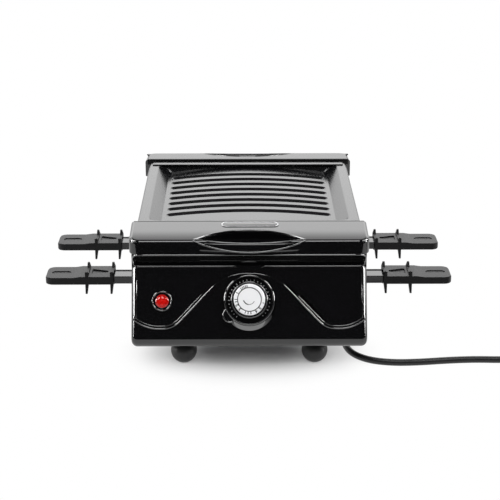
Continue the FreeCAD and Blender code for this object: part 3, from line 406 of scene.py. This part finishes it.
# %% Plate, covers and housings
grill_plate = softened("grill_plate", "plate_casting", 0.9, 3, plate_coat)
softened("front_top_cover", "front_cover_moulding", 0.7, 3, crowned_black)
softened("rear_top_cover", "rear_cover_moulding", 0.7, 3, gloss_black)
softened("front_housing", "front_housing_moulding", 0.5, 2, gloss_black)
softened("rear_housing", "rear_housing_moulding", 0.5, 2, gloss_black)

# %% [markdown]
# The eight grooves of the plate bow upwards with its face. In the picture they lie a little nearer the
# front and reach a little further out than in the construction model. Their points are picked by place,
# between the walls of the field and above its underside, moved and stretched together.

# %% Longer grooves, a little nearer the front
crown_radius, field_half_x, field_y = 700, 92.5, (-56.5, 88.5)
skin, nearer, longer = 4.5, 6, 1.03
top_points = [v.co.z for v in grill_plate.data.vertices if abs(v.co.x) < 2 * mm and abs(v.co.y) < 50 * mm]
crown_z = max(top_points) / mm


def in_groove_field(spot, way):
    """Whether a point lies on the top of the bowed face or in a groove of it."""
    x, y, z = (value / mm for value in spot)
    above_skin = z > crown_z - x**2 / (2 * crown_radius) - skin
    return abs(x) < field_half_x and field_y[0] < y < field_y[1] and above_skin


alone(grill_plate)
ops.object.mode_set(mode="EDIT")
moved = pick(grill_plate, "VERT", in_groove_field)
ops.transform.translate(value=(0, -nearer * mm, 0))
ops.transform.resize(value=(longer, 1, 1), center_override=(0, 0, 0))
ops.object.mode_set(mode="OBJECT")
print("groove points moved", moved, "top of the face at", round(crown_z, 2))

# %% [markdown]
# The pans are pressed from thin sheet, so their edges get only a quarter of a millimetre. The resin
# handles are moulded, and feel round to the hand.

# %% Pans and handles
for place in ("front_right", "rear_right", "front_left", "rear_left"):
    softened("pan_" + place, "pressed_pan_" + place, 0.25, 2, pan_coat)
    softened("handle_" + place, "resin_handle_" + place, 0.55, 2, satin_black)

# %% [markdown]
# ## Lines that catch the light
# A black shiny moulding is seen almost only by its edges. The slot below the top cover, the finger grip
# and the wave pressed into the front each have a thin raised bead, which is what draws the fine bright
# lines in the picture. A bevel can't follow such a line across a flat face, so each bead is a curve with a
# round section, turned into a mesh and sunk a little into its surface.

# %% The front panel as a place to work on
tilt = math.radians(25)
panel_foot_out, panel_foot_z = 183.506, 37.952  # foot of the flat panel: out from the middle, and up


def on_panel(x, s, lift=0.0):
    """A point on the sloped front panel: x across, s up the slope and lift off it, all in mm."""
    out = panel_foot_out - s * math.sin(tilt) + lift * math.cos(tilt)
    return (x, shift_y - out, panel_foot_z + s * math.cos(tilt) + lift * math.sin(tilt))


def to_rear(points):
    """The same points on the rear moulding, which mirrors the front one."""
    return [(x, 2 * shift_y - y, z) for x, y, z in points]


both_ends = (("front", list), ("rear", to_rear))  # how a line of the front is laid at each end
print("panel foot", [round(v, 1) for v in on_panel(0, 0)], "and top", [round(v, 1) for v in on_panel(0, 71)])

# %% [markdown]
# Two helpers draw the lines: one rounds the corners of a line with arcs, the other gives a line its round
# body.

# %% Rounded lines and beads


def rounded_line(corners, steps=10):
    """Points along straight runs whose corners (a, b, radius) are rounded with arcs."""
    points = [corners[0][:2]]
    for i in range(1, len(corners) - 1):
        before, here, after = (Vector(corners[j][:2]) for j in (i - 1, i, i + 1))
        back, on, r = (before - here).normalized(), (after - here).normalized(), corners[i][2]
        half = back.angle(on) / 2
        centre = here + (back + on).normalized() * (r / math.sin(half))
        start, end = here + back * (r / math.tan(half)), here + on * (r / math.tan(half))
        first, last = start - centre, end - centre
        for k in range(steps + 1):
            points.append(tuple(centre + first.slerp(last, k / steps).normalized() * r))
    points.append(corners[-1][:2])
    return points


def bead(name, points, radius, finish=None, closed=False, body="base"):
    """A raised round line through points in mm, made as a curve and turned into a mesh."""
    data = bpy.data.curves.new(name, "CURVE")
    data.dimensions = "3D"
    run = data.splines.new("POLY")
    run.points.add(len(points) - 1)
    for point, (x, y, z) in zip(run.points, points):
        point.co = (x * mm, y * mm, z * mm, 1)
    run.use_cyclic_u = closed
    data.bevel_depth = radius * mm
    data.bevel_resolution = 3
    data.use_fill_caps = not closed
    alone(made(name, data))
    ops.object.convert(target="MESH")
    thing = finish_mesh(bpy.context.object, name, 60)
    belongs(thing, finish or bead_black, body)
    print(name, len(thing.data.polygons), "faces")
    return thing


# %% [markdown]
# The wave dips from the panel's sides and rises in nearly straight slopes to a crest over the knob. It is
# a small step pressed into the panel, seen as two lines: a bead along the step, and its softer outer edge
# a little above. Towards the crest both sink into the panel. The rear panel carries the same wave.

# %% The wave on both panels
crest_half, crest_s, slope_x, trough_x, trough_s, side_x, side_s = 24.0, 63.5, 76.4, 101.5, 8.5, 119, 20.0
wave_end_in, crest_share, trough_share, sink_from_s, sink_over_s = 2.8, 0.9, 0.42, 36, 20
fall = math.atan2(crest_s - trough_s, slope_x - crest_half)
rise = math.atan2(side_s - trough_s, side_x - trough_x)
wave_right = [
    (crest_half, crest_s, crest_share * crest_half / math.tan(fall / 2)),
    (slope_x, trough_s, trough_share * (trough_x - slope_x) / math.tan(fall / 2)),
    (trough_x, trough_s, trough_share * (trough_x - slope_x) / math.tan(rise / 2)),
    (side_x - wave_end_in, side_s - wave_end_in * math.tan(rise), 0),
]
wave = [(-x, s, r) for x, s, r in reversed(wave_right)] + wave_right
wave_points = rounded_line(wave, 14)


def beside(points, gap):
    """The same flat line moved sideways by a gap, to its left as it runs."""
    moved = []
    for i, here in enumerate(points):
        before, after = Vector(points[max(i - 1, 0)]), Vector(points[min(i + 1, len(points) - 1)])
        along = (after - before).normalized()
        moved.append((here[0] - along.y * gap, here[1] + along.x * gap))
    return moved


def sunk_wave(line, low):
    """The line laid on the front panel, low below its surface and a millimetre lower still at the crest."""
    return [on_panel(x, s, -low - min(max((s - sink_from_s) / sink_over_s, 0), 1)) for x, s in line]


for name, line, radius, low in (
    ("wave_bead", wave_points, 0.85, 0.2),
    ("wave_edge", beside(wave_points, 2.6), 0.6, 0.8),
):
    for end, laid in both_ends:
        bead(name + "_" + end, laid(sunk_wave(line, low)), radius)

# %% [markdown]
# Between panel and cover lies a slot, whose rim is one rounded bead that stops on both sides of the knob's
# mark. The rim turns back with the rounded corners of the housing, so its points are laid on a surface
# that does.

# %% The bead round the slot under the top cover
slot_low_z, slot_h, slot_low_out, slot_high_out = 102.0, 13.6, 153.0, 157.7
low_corner, low_corner_x, high_corner, high_corner_x = 6, 112, 11, 109
rim_gap_half, rim_end_x, rim_end_down, rim_half_x = 15, 11, 2.4, 116.6


def on_slot(x, b):
    """A point on the front of the slot's rim, which turns back with the corners of housing and cover."""
    low, high = slot_low_out, slot_high_out
    if abs(x) > low_corner_x:
        low -= low_corner - math.sqrt(low_corner**2 - (abs(x) - low_corner_x) ** 2)
    if abs(x) > high_corner_x:
        high -= high_corner - math.sqrt(high_corner**2 - (abs(x) - high_corner_x) ** 2)
    share = b / slot_h
    return (x, shift_y - (low + (high - low) * share), slot_low_z + b)


def stretched(points, longest=6.0):
    """The same line with points added, so that it can follow a curved surface."""
    done = [points[0]]
    for a, b in zip(points, points[1:]):
        parts = max(1, int(math.hypot(b[0] - a[0], b[1] - a[1]) / longest))
        done += [tuple(u + (v - u) * k / parts for u, v in zip(a, b)) for k in range(1, parts + 1)]
    return done


rim_right = [
    (rim_half_x, slot_h, 5.8), (rim_half_x, 0, 5.8), (rim_gap_half, 0, 2.5), (rim_end_x, -rim_end_down, 0),
]
slot_rim = [(-x, b, r) for x, b, r in reversed(rim_right)] + rim_right
rim_points = [on_slot(x, b) for x, b in stretched(rounded_line(slot_rim, 8))]
for end, laid in both_ends:
    bead("slot_bead_" + end, laid(rim_points), 0.85)

# %% [markdown]
# Inside the slot a short rib stiffens the back wall, and at both sides of the panel its field ends in a
# round edge, one of the bright lines of the front.

# %% Slot ribs and the field's side edges
rib_out, rib_line = 147.8, [(-49, 106.6), (-30, 106.2), (30, 106.2), (49, 106.6)]
rib = [(x, shift_y - rib_out, z) for x, z in rib_line]
for end, laid in both_ends:
    bead("slot_rib_" + end, laid(rib), 0.6)

field_side = [(114.4, 19.4), (113.8, 21.5), (113.7, 45), (113.7, 68), (113.0, 70)]
for side, sign in (("left", -1), ("right", 1)):
    edge = [on_panel(sign * x, s, -0.7) for x, s in field_side]
    for end, laid in both_ends:
        bead("field_side_" + end + "_" + side, laid(edge), 1.8)

# %% [markdown]
# The neck of each pan is folded from the same sheet, and both long folds stand up a little as round edges.

# %% Folded edges of the pan necks
rim_z, neck_half, pan_half_pitch, fold_in, fold_sink = 56.2, 10.2, 53.5, 0.7, 0.3
neck_x = (105.0, 118, 131, 144.4)
for row, row_y in (("front", shift_y - pan_half_pitch), ("rear", shift_y + pan_half_pitch)):
    for side, sign in (("left", -1), ("right", 1)):
        pan_body = frame["nodes"]["pan_" + row + "_" + side]["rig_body"]
        for edge, way, radius in (("near", -1, 0.95), ("far", 1, 1.25)):
            y = row_y + way * (neck_half - fold_in)
            fold = [(sign * x, y, rim_z - fold_sink) for x in neck_x]
            name = "neck_fold_" + edge + "_" + row + "_" + side
            bead(name, fold, radius, pan_coat, body=pan_body)

# %% [markdown]
# The finger grip is an almond: its back edge is an arc cut into the top, its front edge hangs down over
# the lip. A bead follows each of the two, and a third one the top of the bowed bar between them.

# %% Beads of the finger grips
grip_half, grip_back_out, grip_back_bow, bar_front_out, bar_bow = 56, 133.5, 20.5, 162, 5
low_z, low_rise, bar_z, bar_rise = 119.6, 10.4, 128.3, 2.0  # height in the middle, rise of the ends
back_radius = (grip_half**2 + grip_back_bow**2) / (2 * grip_back_bow)
bar_radius = (grip_half**2 + bar_bow**2) / (2 * bar_bow)
cover_top_z, cover_fall, cover_in_out = 136, 0.1209, 112.5  # the top falls outwards by this share


def bar_out(x):
    """How far out the front of the bowed bar lies."""
    return bar_front_out - bar_radius + math.sqrt(bar_radius**2 - x * x)


grip_back, grip_low, grip_bar = [], [], []
for x in range(-grip_half, grip_half + 1, 2):
    share = (x / grip_half) ** 2
    out = grip_back_out + back_radius - math.sqrt(back_radius**2 - x * x)
    top_here = cover_top_z - cover_fall * (out - cover_in_out)
    grip_back.append((x, shift_y - out, top_here - 0.3 - 0.6 * share))
    grip_low.append((x, shift_y - (bar_out(x) - 0.2 - 0.9 * share), low_z + low_rise * share))
    grip_bar.append((0.96 * x, shift_y - (bar_out(x) - 2.2 - 1.2 * share), bar_z + bar_rise * share))
for end, laid in both_ends:
    bead("grip_back_bead_" + end, laid(grip_back), 1.1)
    bead("grip_low_bead_" + end, laid(grip_low), 1.0)
    bead("grip_bar_bead_" + end, laid(grip_bar), 0.9)

# %% [markdown]
# The covers end in a round edge beside the plate, and at the four outer corners their top folds down over
# the side in a short bright crease.

# %% Creases of the covers
edge_out, edge_z = 113.1, 135.35
inner_edge = [(x, shift_y - edge_out, edge_z) for x in (-117, -60, 0, 60, 117)]
crease = [
    (119.4, 147.0, 131.4), (118.4, 150.8, 130.7), (116.2, 153.7, 129.8), (113, 155.9, 128.9),
    (109.5, 157.0, 127.8), (105.5, 157.0, 126.8),
]
for end, laid in both_ends:
    bead("cover_inner_edge_" + end, laid(inner_edge), 0.9, gloss_black)
    for hand, sign in (("left", -1), ("right", 1)):
        fold = [(sign * x, shift_y - out, z) for x, out, z in crease]
        bead("cover_crease_" + end + "_" + hand, laid(fold), 0.95)

# %% [markdown]
# A thin dull black sheet is laid over the inner wall of each cover. It is painted shade: it keeps the gap
# between the shiny tops and the plate dark. The plate's rear rim is a raised flat ledge that mirrors the
# light behind. Both are flat blocks with their edges rounded.

# %% Painted-shade sheets on the inner walls, and the rear ledge


def slab_block(name, low, high, round_off, finish, body):
    """A flat block between two corners in mm, with its edges rounded off."""
    ops.object.select_all(action="DESELECT")
    ops.mesh.primitive_cube_add(size=1)
    thing = bpy.context.object
    thing.scale = [(b - a) * mm for a, b in zip(low, high)]
    thing.location = [(a + b) / 2 * mm for a, b in zip(low, high)]
    ops.object.transform_apply(location=True, scale=True)
    ops.object.mode_set(mode="EDIT")
    ops.mesh.select_all(action="SELECT")
    ops.mesh.bevel(offset=round_off * mm, segments=3, affect="EDGES")
    finish_mesh(thing, name, 40)
    belongs(thing, finish, body)
    print(name, len(thing.data.polygons), "faces")
    return thing


# Thin dull black sheets on the covers' inner walls: painted shade for the gap between cover and plate.
wall_in, wall_out, wall_half, wall_z = 112.25, 112.65, 117.5, (129.5, 135.3)
for side, end in ((1, "front"), (-1, "rear")):
    near, away = sorted((shift_y - side * wall_in, shift_y - side * wall_out))
    low, high = (-wall_half, near, wall_z[0]), (wall_half, away, wall_z[1])
    slab_block("gap_shade_sheet_" + end, low, high, 0.1, satin_black, "base")
plate_body = frame["nodes"]["grill_plate"]["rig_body"]
ledge_low, ledge_high = (-110.5, 100.8, 132.4), (110.5, 112.0, 134.2)
slab_block("rear_ledge", ledge_low, ledge_high, 0.5, plate_coat, plate_body)

# %% [markdown]
# ## The bare badge
# The front cover has a flat pill-shaped plate. Here it is left bare, with only a fine bright rim. A cube
# becomes a pill when its four upright edges are rounded almost to its full half width.

# %% Badge
badge_half_x, badge_half_y, badge_h, badge_x, badge_out, badge_lift = 28.5, 4.6, 0.8, 1, 121.5, 0.25
badge_z = cover_top_z - cover_fall * (badge_out - cover_in_out)


def slab_pill(half_x, half_y, height, segments=12):
    """A flat pill: a cube stretched to size, its four upright edges rounded and its top edge softened."""
    ops.object.select_all(action="DESELECT")
    ops.mesh.primitive_cube_add(size=1)
    thing = bpy.context.object
    thing.scale = (2 * half_x * mm, 2 * half_y * mm, height * mm)
    ops.object.transform_apply(scale=True)
    ops.object.mode_set(mode="EDIT")
    pick(thing, "EDGE", lambda middle, way: abs(way.z) > 0.9)
    ops.mesh.bevel(offset=half_y * 0.98 * mm, segments=segments, affect="EDGES")
    pick(thing, "FACE", lambda middle, way: way.z > 0.9)
    ops.mesh.bevel(offset=height * 0.3 * mm, segments=2, affect="EDGES")
    ops.object.mode_set(mode="OBJECT")
    return thing


badge = slab_pill(badge_half_x, badge_half_y, badge_h)
badge.rotation_euler = (math.atan(cover_fall), 0, 0)
badge.location = (badge_x * mm, (shift_y - badge_out) * mm, (badge_z + badge_lift) * mm)
finish_mesh(badge, "bare_badge", 40)
belongs(badge, gloss_black, "base")
rim_r, rim_x, rim_lift = 4.4, 24.1, 0.62
arc = [(rim_x + rim_r * math.sin(a), rim_r * math.cos(a)) for a in (math.pi * k / 12 for k in range(13))]
outline = arc + [(-x, -y) for x, y in arc]
badge_rim = [(badge_x + x, shift_y - badge_out + y, badge_z + cover_fall * y + rim_lift) for x, y in outline]
bead("badge_rim", badge_rim, 0.38, cap_silver, closed=True)

# %% [markdown]
# ## The knob
# A silver cap sits on a black skirt. The cap is turned: a cylinder whose rim is rounded, with a fine
# groove between the outer ring, which carries the marks, and the inner disc. The groove is the top face
# inset five times, once down and once up again. Pieces are built flat and then laid onto the sloped panel.

# %% Knob cap
knob_s, cap_face, cap_radius, cap_h = 36.5, 21.0, 15.5, 6.0


def on_knob_face(thing, lift=0.0):
    """Lay a piece built flat on z = 0 onto the plane of the knob, in front of the panel."""
    x, y, z = on_panel(0, knob_s, lift)
    thing.rotation_euler = (math.pi / 2 - tilt, 0, 0)
    thing.location = (x * mm, y * mm, z * mm)
    return thing


cap_middle = (0, 0, (cap_face - cap_h / 2) * mm)
ops.object.select_all(action="DESELECT")
ops.mesh.primitive_cylinder_add(vertices=96, radius=cap_radius * mm, depth=cap_h * mm, location=cap_middle)
cap = bpy.context.object
ops.object.transform_apply(location=True)
ops.object.mode_set(mode="EDIT")
pick(cap, "EDGE", lambda middle, way: middle.z > (cap_face - 0.1) * mm)
ops.mesh.bevel(offset=0.9 * mm, segments=4, affect="EDGES")
pick(cap, "FACE", lambda middle, way: way.z > 0.99)
for width, depth in ((2.5, 0), (0.25, -0.5), (0.4, 0), (0.25, 0.5), (0.4, 0.0)):
    ops.mesh.inset(thickness=width * mm, depth=depth * mm)
ops.mesh.bevel(offset=0.15 * mm, segments=2, affect="EDGES")
on_knob_face(cap)
finish_mesh(cap, "turned_knob_cap", 30)
belongs(cap, cap_silver, "knob")
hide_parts("knob_cap")
print("knob cap", len(cap.data.polygons), "faces")

# %% [markdown]
# The skirt, the surround with its ear and the rim of the pilot lamp only need their edges softened.

# %% Skirt, surround and pilot rim
softened("knob", "knob_skirt", 0.4, 2, gloss_black)
softened("knob_surround", "surround_moulding", 0.5, 3, gloss_black)
softened("pilot_bezel", "pilot_rim", 0.5, 3, gloss_black)

# %% [markdown]
# Plain numbers and ticks are printed round the cap's ring, and more ticks on the floor of the surround.
# Print is thicker here than real ink, a tenth of a millimetre, so that it is a form of its own. Numbers
# are text turned into a mesh, and a tick is a cube scaled to a thin plain bar.

# %% Numbers and ticks


def number(text, radius, degrees, size, lift):
    """One numeral standing on a ring, its foot towards the middle."""
    ops.object.select_all(action="DESELECT")
    ops.object.text_add()
    thing = bpy.context.object
    thing.data.body = text
    thing.data.size = size * mm * 1.4
    thing.data.extrude = 0.04 * mm
    thing.data.offset = 0.16 * mm
    thing.data.align_x = "CENTER"
    thing.data.align_y = "CENTER"
    ops.object.convert(target="MESH")
    thing = bpy.context.object
    angle = math.radians(degrees)
    thing.rotation_euler = (0, 0, angle - math.pi / 2)
    thing.location = (radius * math.cos(angle) * mm, radius * math.sin(angle) * mm, lift * mm)
    ops.object.transform_apply(location=True, rotation=True)
    return thing


def tick(radius, degrees, length, width, lift, thick=0.12):
    """One printed tick: a thin raised bar along a radius."""
    ops.object.select_all(action="DESELECT")
    ops.mesh.primitive_cube_add(size=1)
    thing = bpy.context.object
    angle = math.radians(degrees)
    thing.scale = (length * mm, width * mm, thick * mm)
    thing.rotation_euler = (0, 0, angle)
    thing.location = (radius * math.cos(angle) * mm, radius * math.sin(angle) * mm, lift * mm)
    ops.object.transform_apply(location=True, rotation=True, scale=True)
    return thing


def printed(name, parts, finish, body):
    """Join the marks into one piece and lay it onto the plane of the knob."""
    ops.object.select_all(action="DESELECT")
    for part in parts:
        part.select_set(True)
    bpy.context.view_layer.objects.active = parts[0]
    ops.object.join()
    thing = on_knob_face(bpy.context.object)
    finish_mesh(thing, name, 30)
    belongs(thing, finish, body)
    print(name, len(parts), "marks")


marks_radius, floor_radius, floor_z = 13.4, 20.4, 2.02
angle_of_number = {1: 152, 2: 205, 3: 226, 4: 300, 5: 320, 6: 345}
tick_angles = (100, 107, 114, 121, 128, 180, 190, 252, 264, 276)
numerals = [number(str(n), marks_radius, at, 2.9, cap_face) for n, at in angle_of_number.items()]
ring_ticks = [tick(marks_radius, at, 2.5, 0.8, cap_face) for at in tick_angles]
printed("cap_numbers", numerals + ring_ticks, black_ink_and_painted_shade, "knob")
floor_ticks = []
for k in range(28):
    floor_ticks.append(tick(floor_radius, 232 - 10.4 * k, 1.7 if k % 5 == 0 else 1.0, 0.5, floor_z))
printed("surround_ticks", floor_ticks, mark_white, "base")

# %% [markdown]
# Round edges again draw bright rings: on the skirt, the surround, its ear and the pilot rim. A ring of
# black ink in the cap's groove is painted shade for the groove, and a short curved line of black ink on
# the disc, thick on one side and thin on the other, is painted shade along the edge of a shallow dimple.

# %% Rings and the painted shade on the cap


def ring_line(radius, lift, turns=96, x=0.0, y=0.0, first=0, last=360):
    """Points of an arc in the plane of the knob, in mm and degrees."""
    count = max(8, int(turns * (last - first) / 360))
    past_end = 0 if last - first == 360 else 1
    angles = [math.radians(first + (last - first) * k / count) for k in range(count + past_end)]
    return [on_panel(x + radius * math.cos(a), knob_s + y + radius * math.sin(a), lift) for a in angles]


ear_reach, ear_angle = 24, math.radians(218)
ear_x, ear_y = ear_reach * math.cos(ear_angle), ear_reach * math.sin(ear_angle)
# A ring of black ink in the cap's groove: painted shade for the groove.
bead("cap_groove_painted_shade", ring_line(11.7, cap_face - 0.2), 0.5, black_ink_and_painted_shade, closed=True, body="knob")
bead("skirt_ring", ring_line(17.6, 14.7), 0.7, closed=True, body="knob")
bead("surround_ring", ring_line(24.2, 8.5), 1.15, closed=True)
bead("ear_ring", ring_line(6.9, 7.6, x=ear_x, y=ear_y, first=120, last=320), 0.95)
bead("pilot_ring", ring_line(9.4, 4.9, turns=64, x=-87, y=-0.5), 0.7, closed=True)
# A black ink line, thick and then thin, is painted shade along the edge of a shallow dimple in the disc.
dimple_shade_radius, dimple_shade_x, dimple_shade_y, dimple_shade_turn = 5.6, -0.3, 0.6, 262
line = ring_line(dimple_shade_radius, cap_face + 0.1, x=dimple_shade_x, y=dimple_shade_y, first=195, last=dimple_shade_turn)
tail = ring_line(dimple_shade_radius, cap_face, x=dimple_shade_x, y=dimple_shade_y, first=dimple_shade_turn, last=335)
bead("dimple_shade_line", line, 0.5, black_ink_and_painted_shade, body="knob")
bead("dimple_shade_tail", tail, 0.26, black_ink_and_painted_shade, body="knob")

# %% [markdown]
# The surround flares downwards into a bright crescent. It is a short cylinder whose foot is widened and
# pushed down the panel, and whose top is inset and sunk, which leaves a thin sloped wall.

# %% The wide foot of the surround
foot_radius, foot_h, foot_middle, foot_drop, foot_wall, foot_hollow = 25, 5, 2.7, 3.9, 1.3, 4.6
foot_wider, foot_longer = 1.035, 1.05
ops.object.select_all(action="DESELECT")
ops.mesh.primitive_cylinder_add(
    vertices=96, radius=foot_radius * mm, depth=foot_h * mm, location=(0, 0, foot_middle * mm)
)
foot = bpy.context.object
ops.object.transform_apply(location=True)
ops.object.mode_set(mode="EDIT")
pick(foot, "FACE", lambda middle, way: way.z < -0.9)
ops.transform.resize(value=(foot_wider, foot_longer, 1), center_override=(0, 0, 0))
ops.transform.translate(value=(0, -foot_drop * mm, 0))
pick(foot, "FACE", lambda middle, way: way.z > 0.9)
ops.mesh.inset(thickness=foot_wall * mm)
ops.mesh.extrude_region_move(TRANSFORM_OT_translate={"value": (0, 0, -foot_hollow * mm)})
on_knob_face(foot)
finish_mesh(foot, "surround_foot", 30)
belongs(foot, bead_black, "base")
print("surround foot", len(foot.data.polygons), "faces")

# %% [markdown]
# ## The lead's own pieces
# Where the lead leaves the housing a soft rubber sleeve keeps it from being bent sharply: a flange against
# the sheet, then six ribs that get thinner towards the end, so that it bends more and more easily. It is
# built as on a lathe, a disc extruded and widened or narrowed step by step.

# %% Strain relief


def turned_solid(profile, segments=40):
    """A round solid: a disc extruded again and again to each (radius, height) of its profile, in mm."""
    ops.object.select_all(action="DESELECT")
    radius, height = profile[0]
    start = (0, 0, height * mm)
    ops.mesh.primitive_circle_add(vertices=segments, radius=radius * mm, fill_type="NGON", location=start)
    thing = bpy.context.object
    ops.object.transform_apply(location=True)
    ops.object.mode_set(mode="EDIT")
    ops.mesh.select_mode(type="FACE")
    ops.mesh.select_all(action="SELECT")
    for new_radius, new_height in profile[1:]:
        rise_by = (0, 0, (new_height - height) * mm)
        ops.mesh.extrude_region_move(TRANSFORM_OT_translate={"value": rise_by})
        grow = new_radius / radius
        ops.transform.resize(value=(grow, grow, 1), center_override=(0, 0, new_height * mm))
        radius, height = new_radius, new_height
    ops.mesh.select_all(action="SELECT")
    ops.mesh.normals_make_consistent(inside=False)
    ops.object.mode_set(mode="OBJECT")
    return thing


rib_count, rib_pitch, sleeve_len = 6, 3.4, 25.2
sleeve = [(4.8, 0), (4.8, 1.5), (4.4, 1.6), (4.4, 2.4), (5.8, 2.4), (6.1, 2.7), (6.1, 3.7), (5.6, 4.2)]
for k in range(rib_count):
    start, thick = 4.4 + rib_pitch * k, 5.3 - 0.24 * k
    sleeve += [(thick - 0.8, start + 0.4), (thick - 0.8, start + 1.4), (thick - 0.1, start + 1.8)]
    sleeve += [(thick, start + 2.1), (thick, start + 2.8), (thick - 0.15, start + 3.1)]
sleeve += [(3.6, sleeve_len)]
sleeve_foot = (0.022, -0.10957, 0.033)  # in metres, on the inner wall of the front housing
boot = turned_solid(sleeve)
boot.rotation_euler = (-math.pi / 2, 0, 0)
boot.location = sleeve_foot
finish_mesh(boot, "ribbed_strain_relief", 40)
belongs(boot, lead_rubber, "base")
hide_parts("cord_gland")
print("strain relief", len(boot.data.polygons), "faces")

# %% [markdown]
# The lead gets its rubber finish and moves with the base; the construction model's own lead, its coil and
# the plug's lead are hidden.

belongs(mains_lead, lead_rubber, "base")
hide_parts("power_cord", "cord_coil", "plug_lead")

# %% [markdown]
# ## The table
# A plain white table that keeps the grill's soft shadow under the housings. Further away it turns into
# plain white for what looks at it or mirrors it, so that the picture's white has no seam. Near the grill
# that white is painted light: outside two ellipses, one under each housing, it covers the grill's real
# shadow, and across their edge it fades that shadow.

# %% Table
core, reach = (0, 0.13, 0), (0.115, 0.08, 1)  # middle and half axes of the ellipses, in metres
ops.object.select_all(action="DESELECT")
ops.mesh.primitive_plane_add(size=2, location=(0, 0, -0.0002))
table = bpy.context.object
table.scale = (2.5, 1.70, 1)
table.location.y = 1.30
finish_mesh(table, "table_top")
table_finish, tree, place = start_finish("white_table")
mirrored = add(tree, "ShaderNodeVectorMath", {0: place}, operation="ABSOLUTE")
moved = add(tree, "ShaderNodeVectorMath", {0: mirrored.outputs[0], 1: core}, operation="SUBTRACT")
scaled = add(tree, "ShaderNodeVectorMath", {0: moved.outputs[0], 1: reach}, operation="DIVIDE")
away = add(tree, "ShaderNodeVectorMath", {0: scaled.outputs[0]}, operation="LENGTH")
# Past the ellipses' edge the plain white is painted over the grill's real shadow, fading it across the edge.
band = {"Value": away.outputs["Value"], "From Min": 0.3, "From Max": 1.3}
far = add(tree, "ShaderNodeMapRange", band, interpolation_type="SMOOTHSTEP")
ray = add(tree, "ShaderNodeLightPath").outputs
seen = add(tree, "ShaderNodeMath", {0: ray["Is Camera Ray"], 1: ray["Is Glossy Ray"]}, operation="MAXIMUM")
seen = add(tree, "ShaderNodeMath", {0: seen.outputs[0], 1: ray["Is Transmission Ray"]}, operation="MAXIMUM")
share = add(tree, "ShaderNodeMath", {0: far.outputs[0], 1: seen.outputs[0]}, operation="MULTIPLY")
near_white = add(tree, "ShaderNodeBsdfDiffuse", {"Color": hex_colour("f2f2f2")})
plain_white = add(tree, "ShaderNodeEmission", {"Color": (1, 1, 1, 1), "Strength": 1.0})
layers = {0: share.outputs[0], 1: near_white.outputs[0], 2: plain_white.outputs[0]}
both = add(tree, "ShaderNodeMixShader", layers)
add(tree, "ShaderNodeOutputMaterial", {"Surface": both.outputs[0]})
table.data.materials.clear()
table.data.materials.append(table_finish)
print("table ready")

# %% [markdown]
# ## The cove behind
# Black gloss shows little of its own: it shows the studio. Behind the grill stands a bright cove,
# brightest about 27 degrees above the table, which the tops of covers, plate and handles mirror as soft
# grey. In front it is dark, and the black panel mirrors that. A ramp over height, faded in towards the
# back, makes it without any object.

# %% World
brightness_at = (
    (0.0, 0.3), (0.105, 0.42), (0.2, 0.6), (0.34, 0.76), (0.45, 1.0), (0.57, 0.92),
    (0.65, 0.45), (0.77, 0.12),
)
world = bpy.data.worlds.new("studio")
bpy.context.scene.world = world
world.use_nodes = True
tree = world.node_tree
tree.nodes.clear()
way = add(tree, "ShaderNodeTexCoord").outputs["Generated"]
split = add(tree, "ShaderNodeSeparateXYZ", {0: way})
facing = {"Value": split.outputs["Y"], "From Min": -0.1, "From Max": 0.75}
back = add(tree, "ShaderNodeMapRange", facing, interpolation_type="SMOOTHSTEP")
cove = add(tree, "ShaderNodeValToRGB", {0: split.outputs["Z"]})
for height, level in brightness_at:
    stop = cove.color_ramp.elements.new(height)
    stop.color = (level, level, level, 1)
cove.color_ramp.elements.remove(cove.color_ramp.elements[-1])
lit = add(tree, "ShaderNodeMath", {0: back.outputs[0], 1: cove.outputs[0]}, operation="MULTIPLY")
strength = add(tree, "ShaderNodeMapRange", {"Value": lit.outputs[0], "To Min": 0.03, "To Max": 3.2})
studio = add(tree, "ShaderNodeBackground", {"Color": (1, 1, 1, 1), "Strength": strength.outputs[0]})
plain = add(tree, "ShaderNodeBackground", {"Color": (1, 1, 1, 1), "Strength": 1.0})
ray = add(tree, "ShaderNodeLightPath").outputs["Is Camera Ray"]
look = add(tree, "ShaderNodeMixShader", {0: ray, 1: studio.outputs[0], 2: plain.outputs[0]})
add(tree, "ShaderNodeOutputWorld", {"Surface": look.outputs[0]})
print("world ready")

# %% [markdown]
# ## The lamps
# Two large soft lamps, above and in front, light what is dull and make the soft shadow, and nothing
# mirrors them, or the black panel would turn grey. Five small bright ones at the sides and above do the
# opposite: only gloss sees them, as the fine bright lines along beads, rims and round edges.

# %% Softboxes


def softbox(name, place, width, height, brightness, mirrored=True, shines=True):
    """A rectangular lamp aimed at the grill, whose face has the given brightness, where 1 is white."""
    lamp = bpy.data.lights.new(name, "AREA")
    lamp.shape = "RECTANGLE"
    lamp.size = width
    lamp.size_y = height
    lamp.energy = brightness * math.pi * width * height
    thing = made(name, lamp)
    thing.location = place
    thing.rotation_euler = (Vector((0, 0, 0.1)) - Vector(place)).to_track_quat("-Z", "Y").to_euler()
    thing.visible_glossy = mirrored
    thing.visible_diffuse = shines
    return thing


softbox("softbox_top", (0, -0.2, 1.9), 3.2, 2.6, 1.5, mirrored=False)
softbox("softbox_fill", (0, -1.7, 1.5), 1.8, 1.2, 4.0, mirrored=False)
softbox("strip_above", (0, -0.85, 1.75), 0.7, 0.8, 5.0, shines=False)
for hand, sign in (("left", -1), ("right", 1)):
    softbox("strip_" + hand, (sign * 2.15, -0.38, 0.68), 0.5, 0.85, 24.0, shines=False)
for hand, sign in (("left", -1), ("right", 1)):
    softbox("strip_upper_" + hand, (sign * 1.3, -0.5, 1.5), 0.7, 0.7, 14.0, shines=False)
bpy.context.scene.view_settings.view_transform = "Standard"
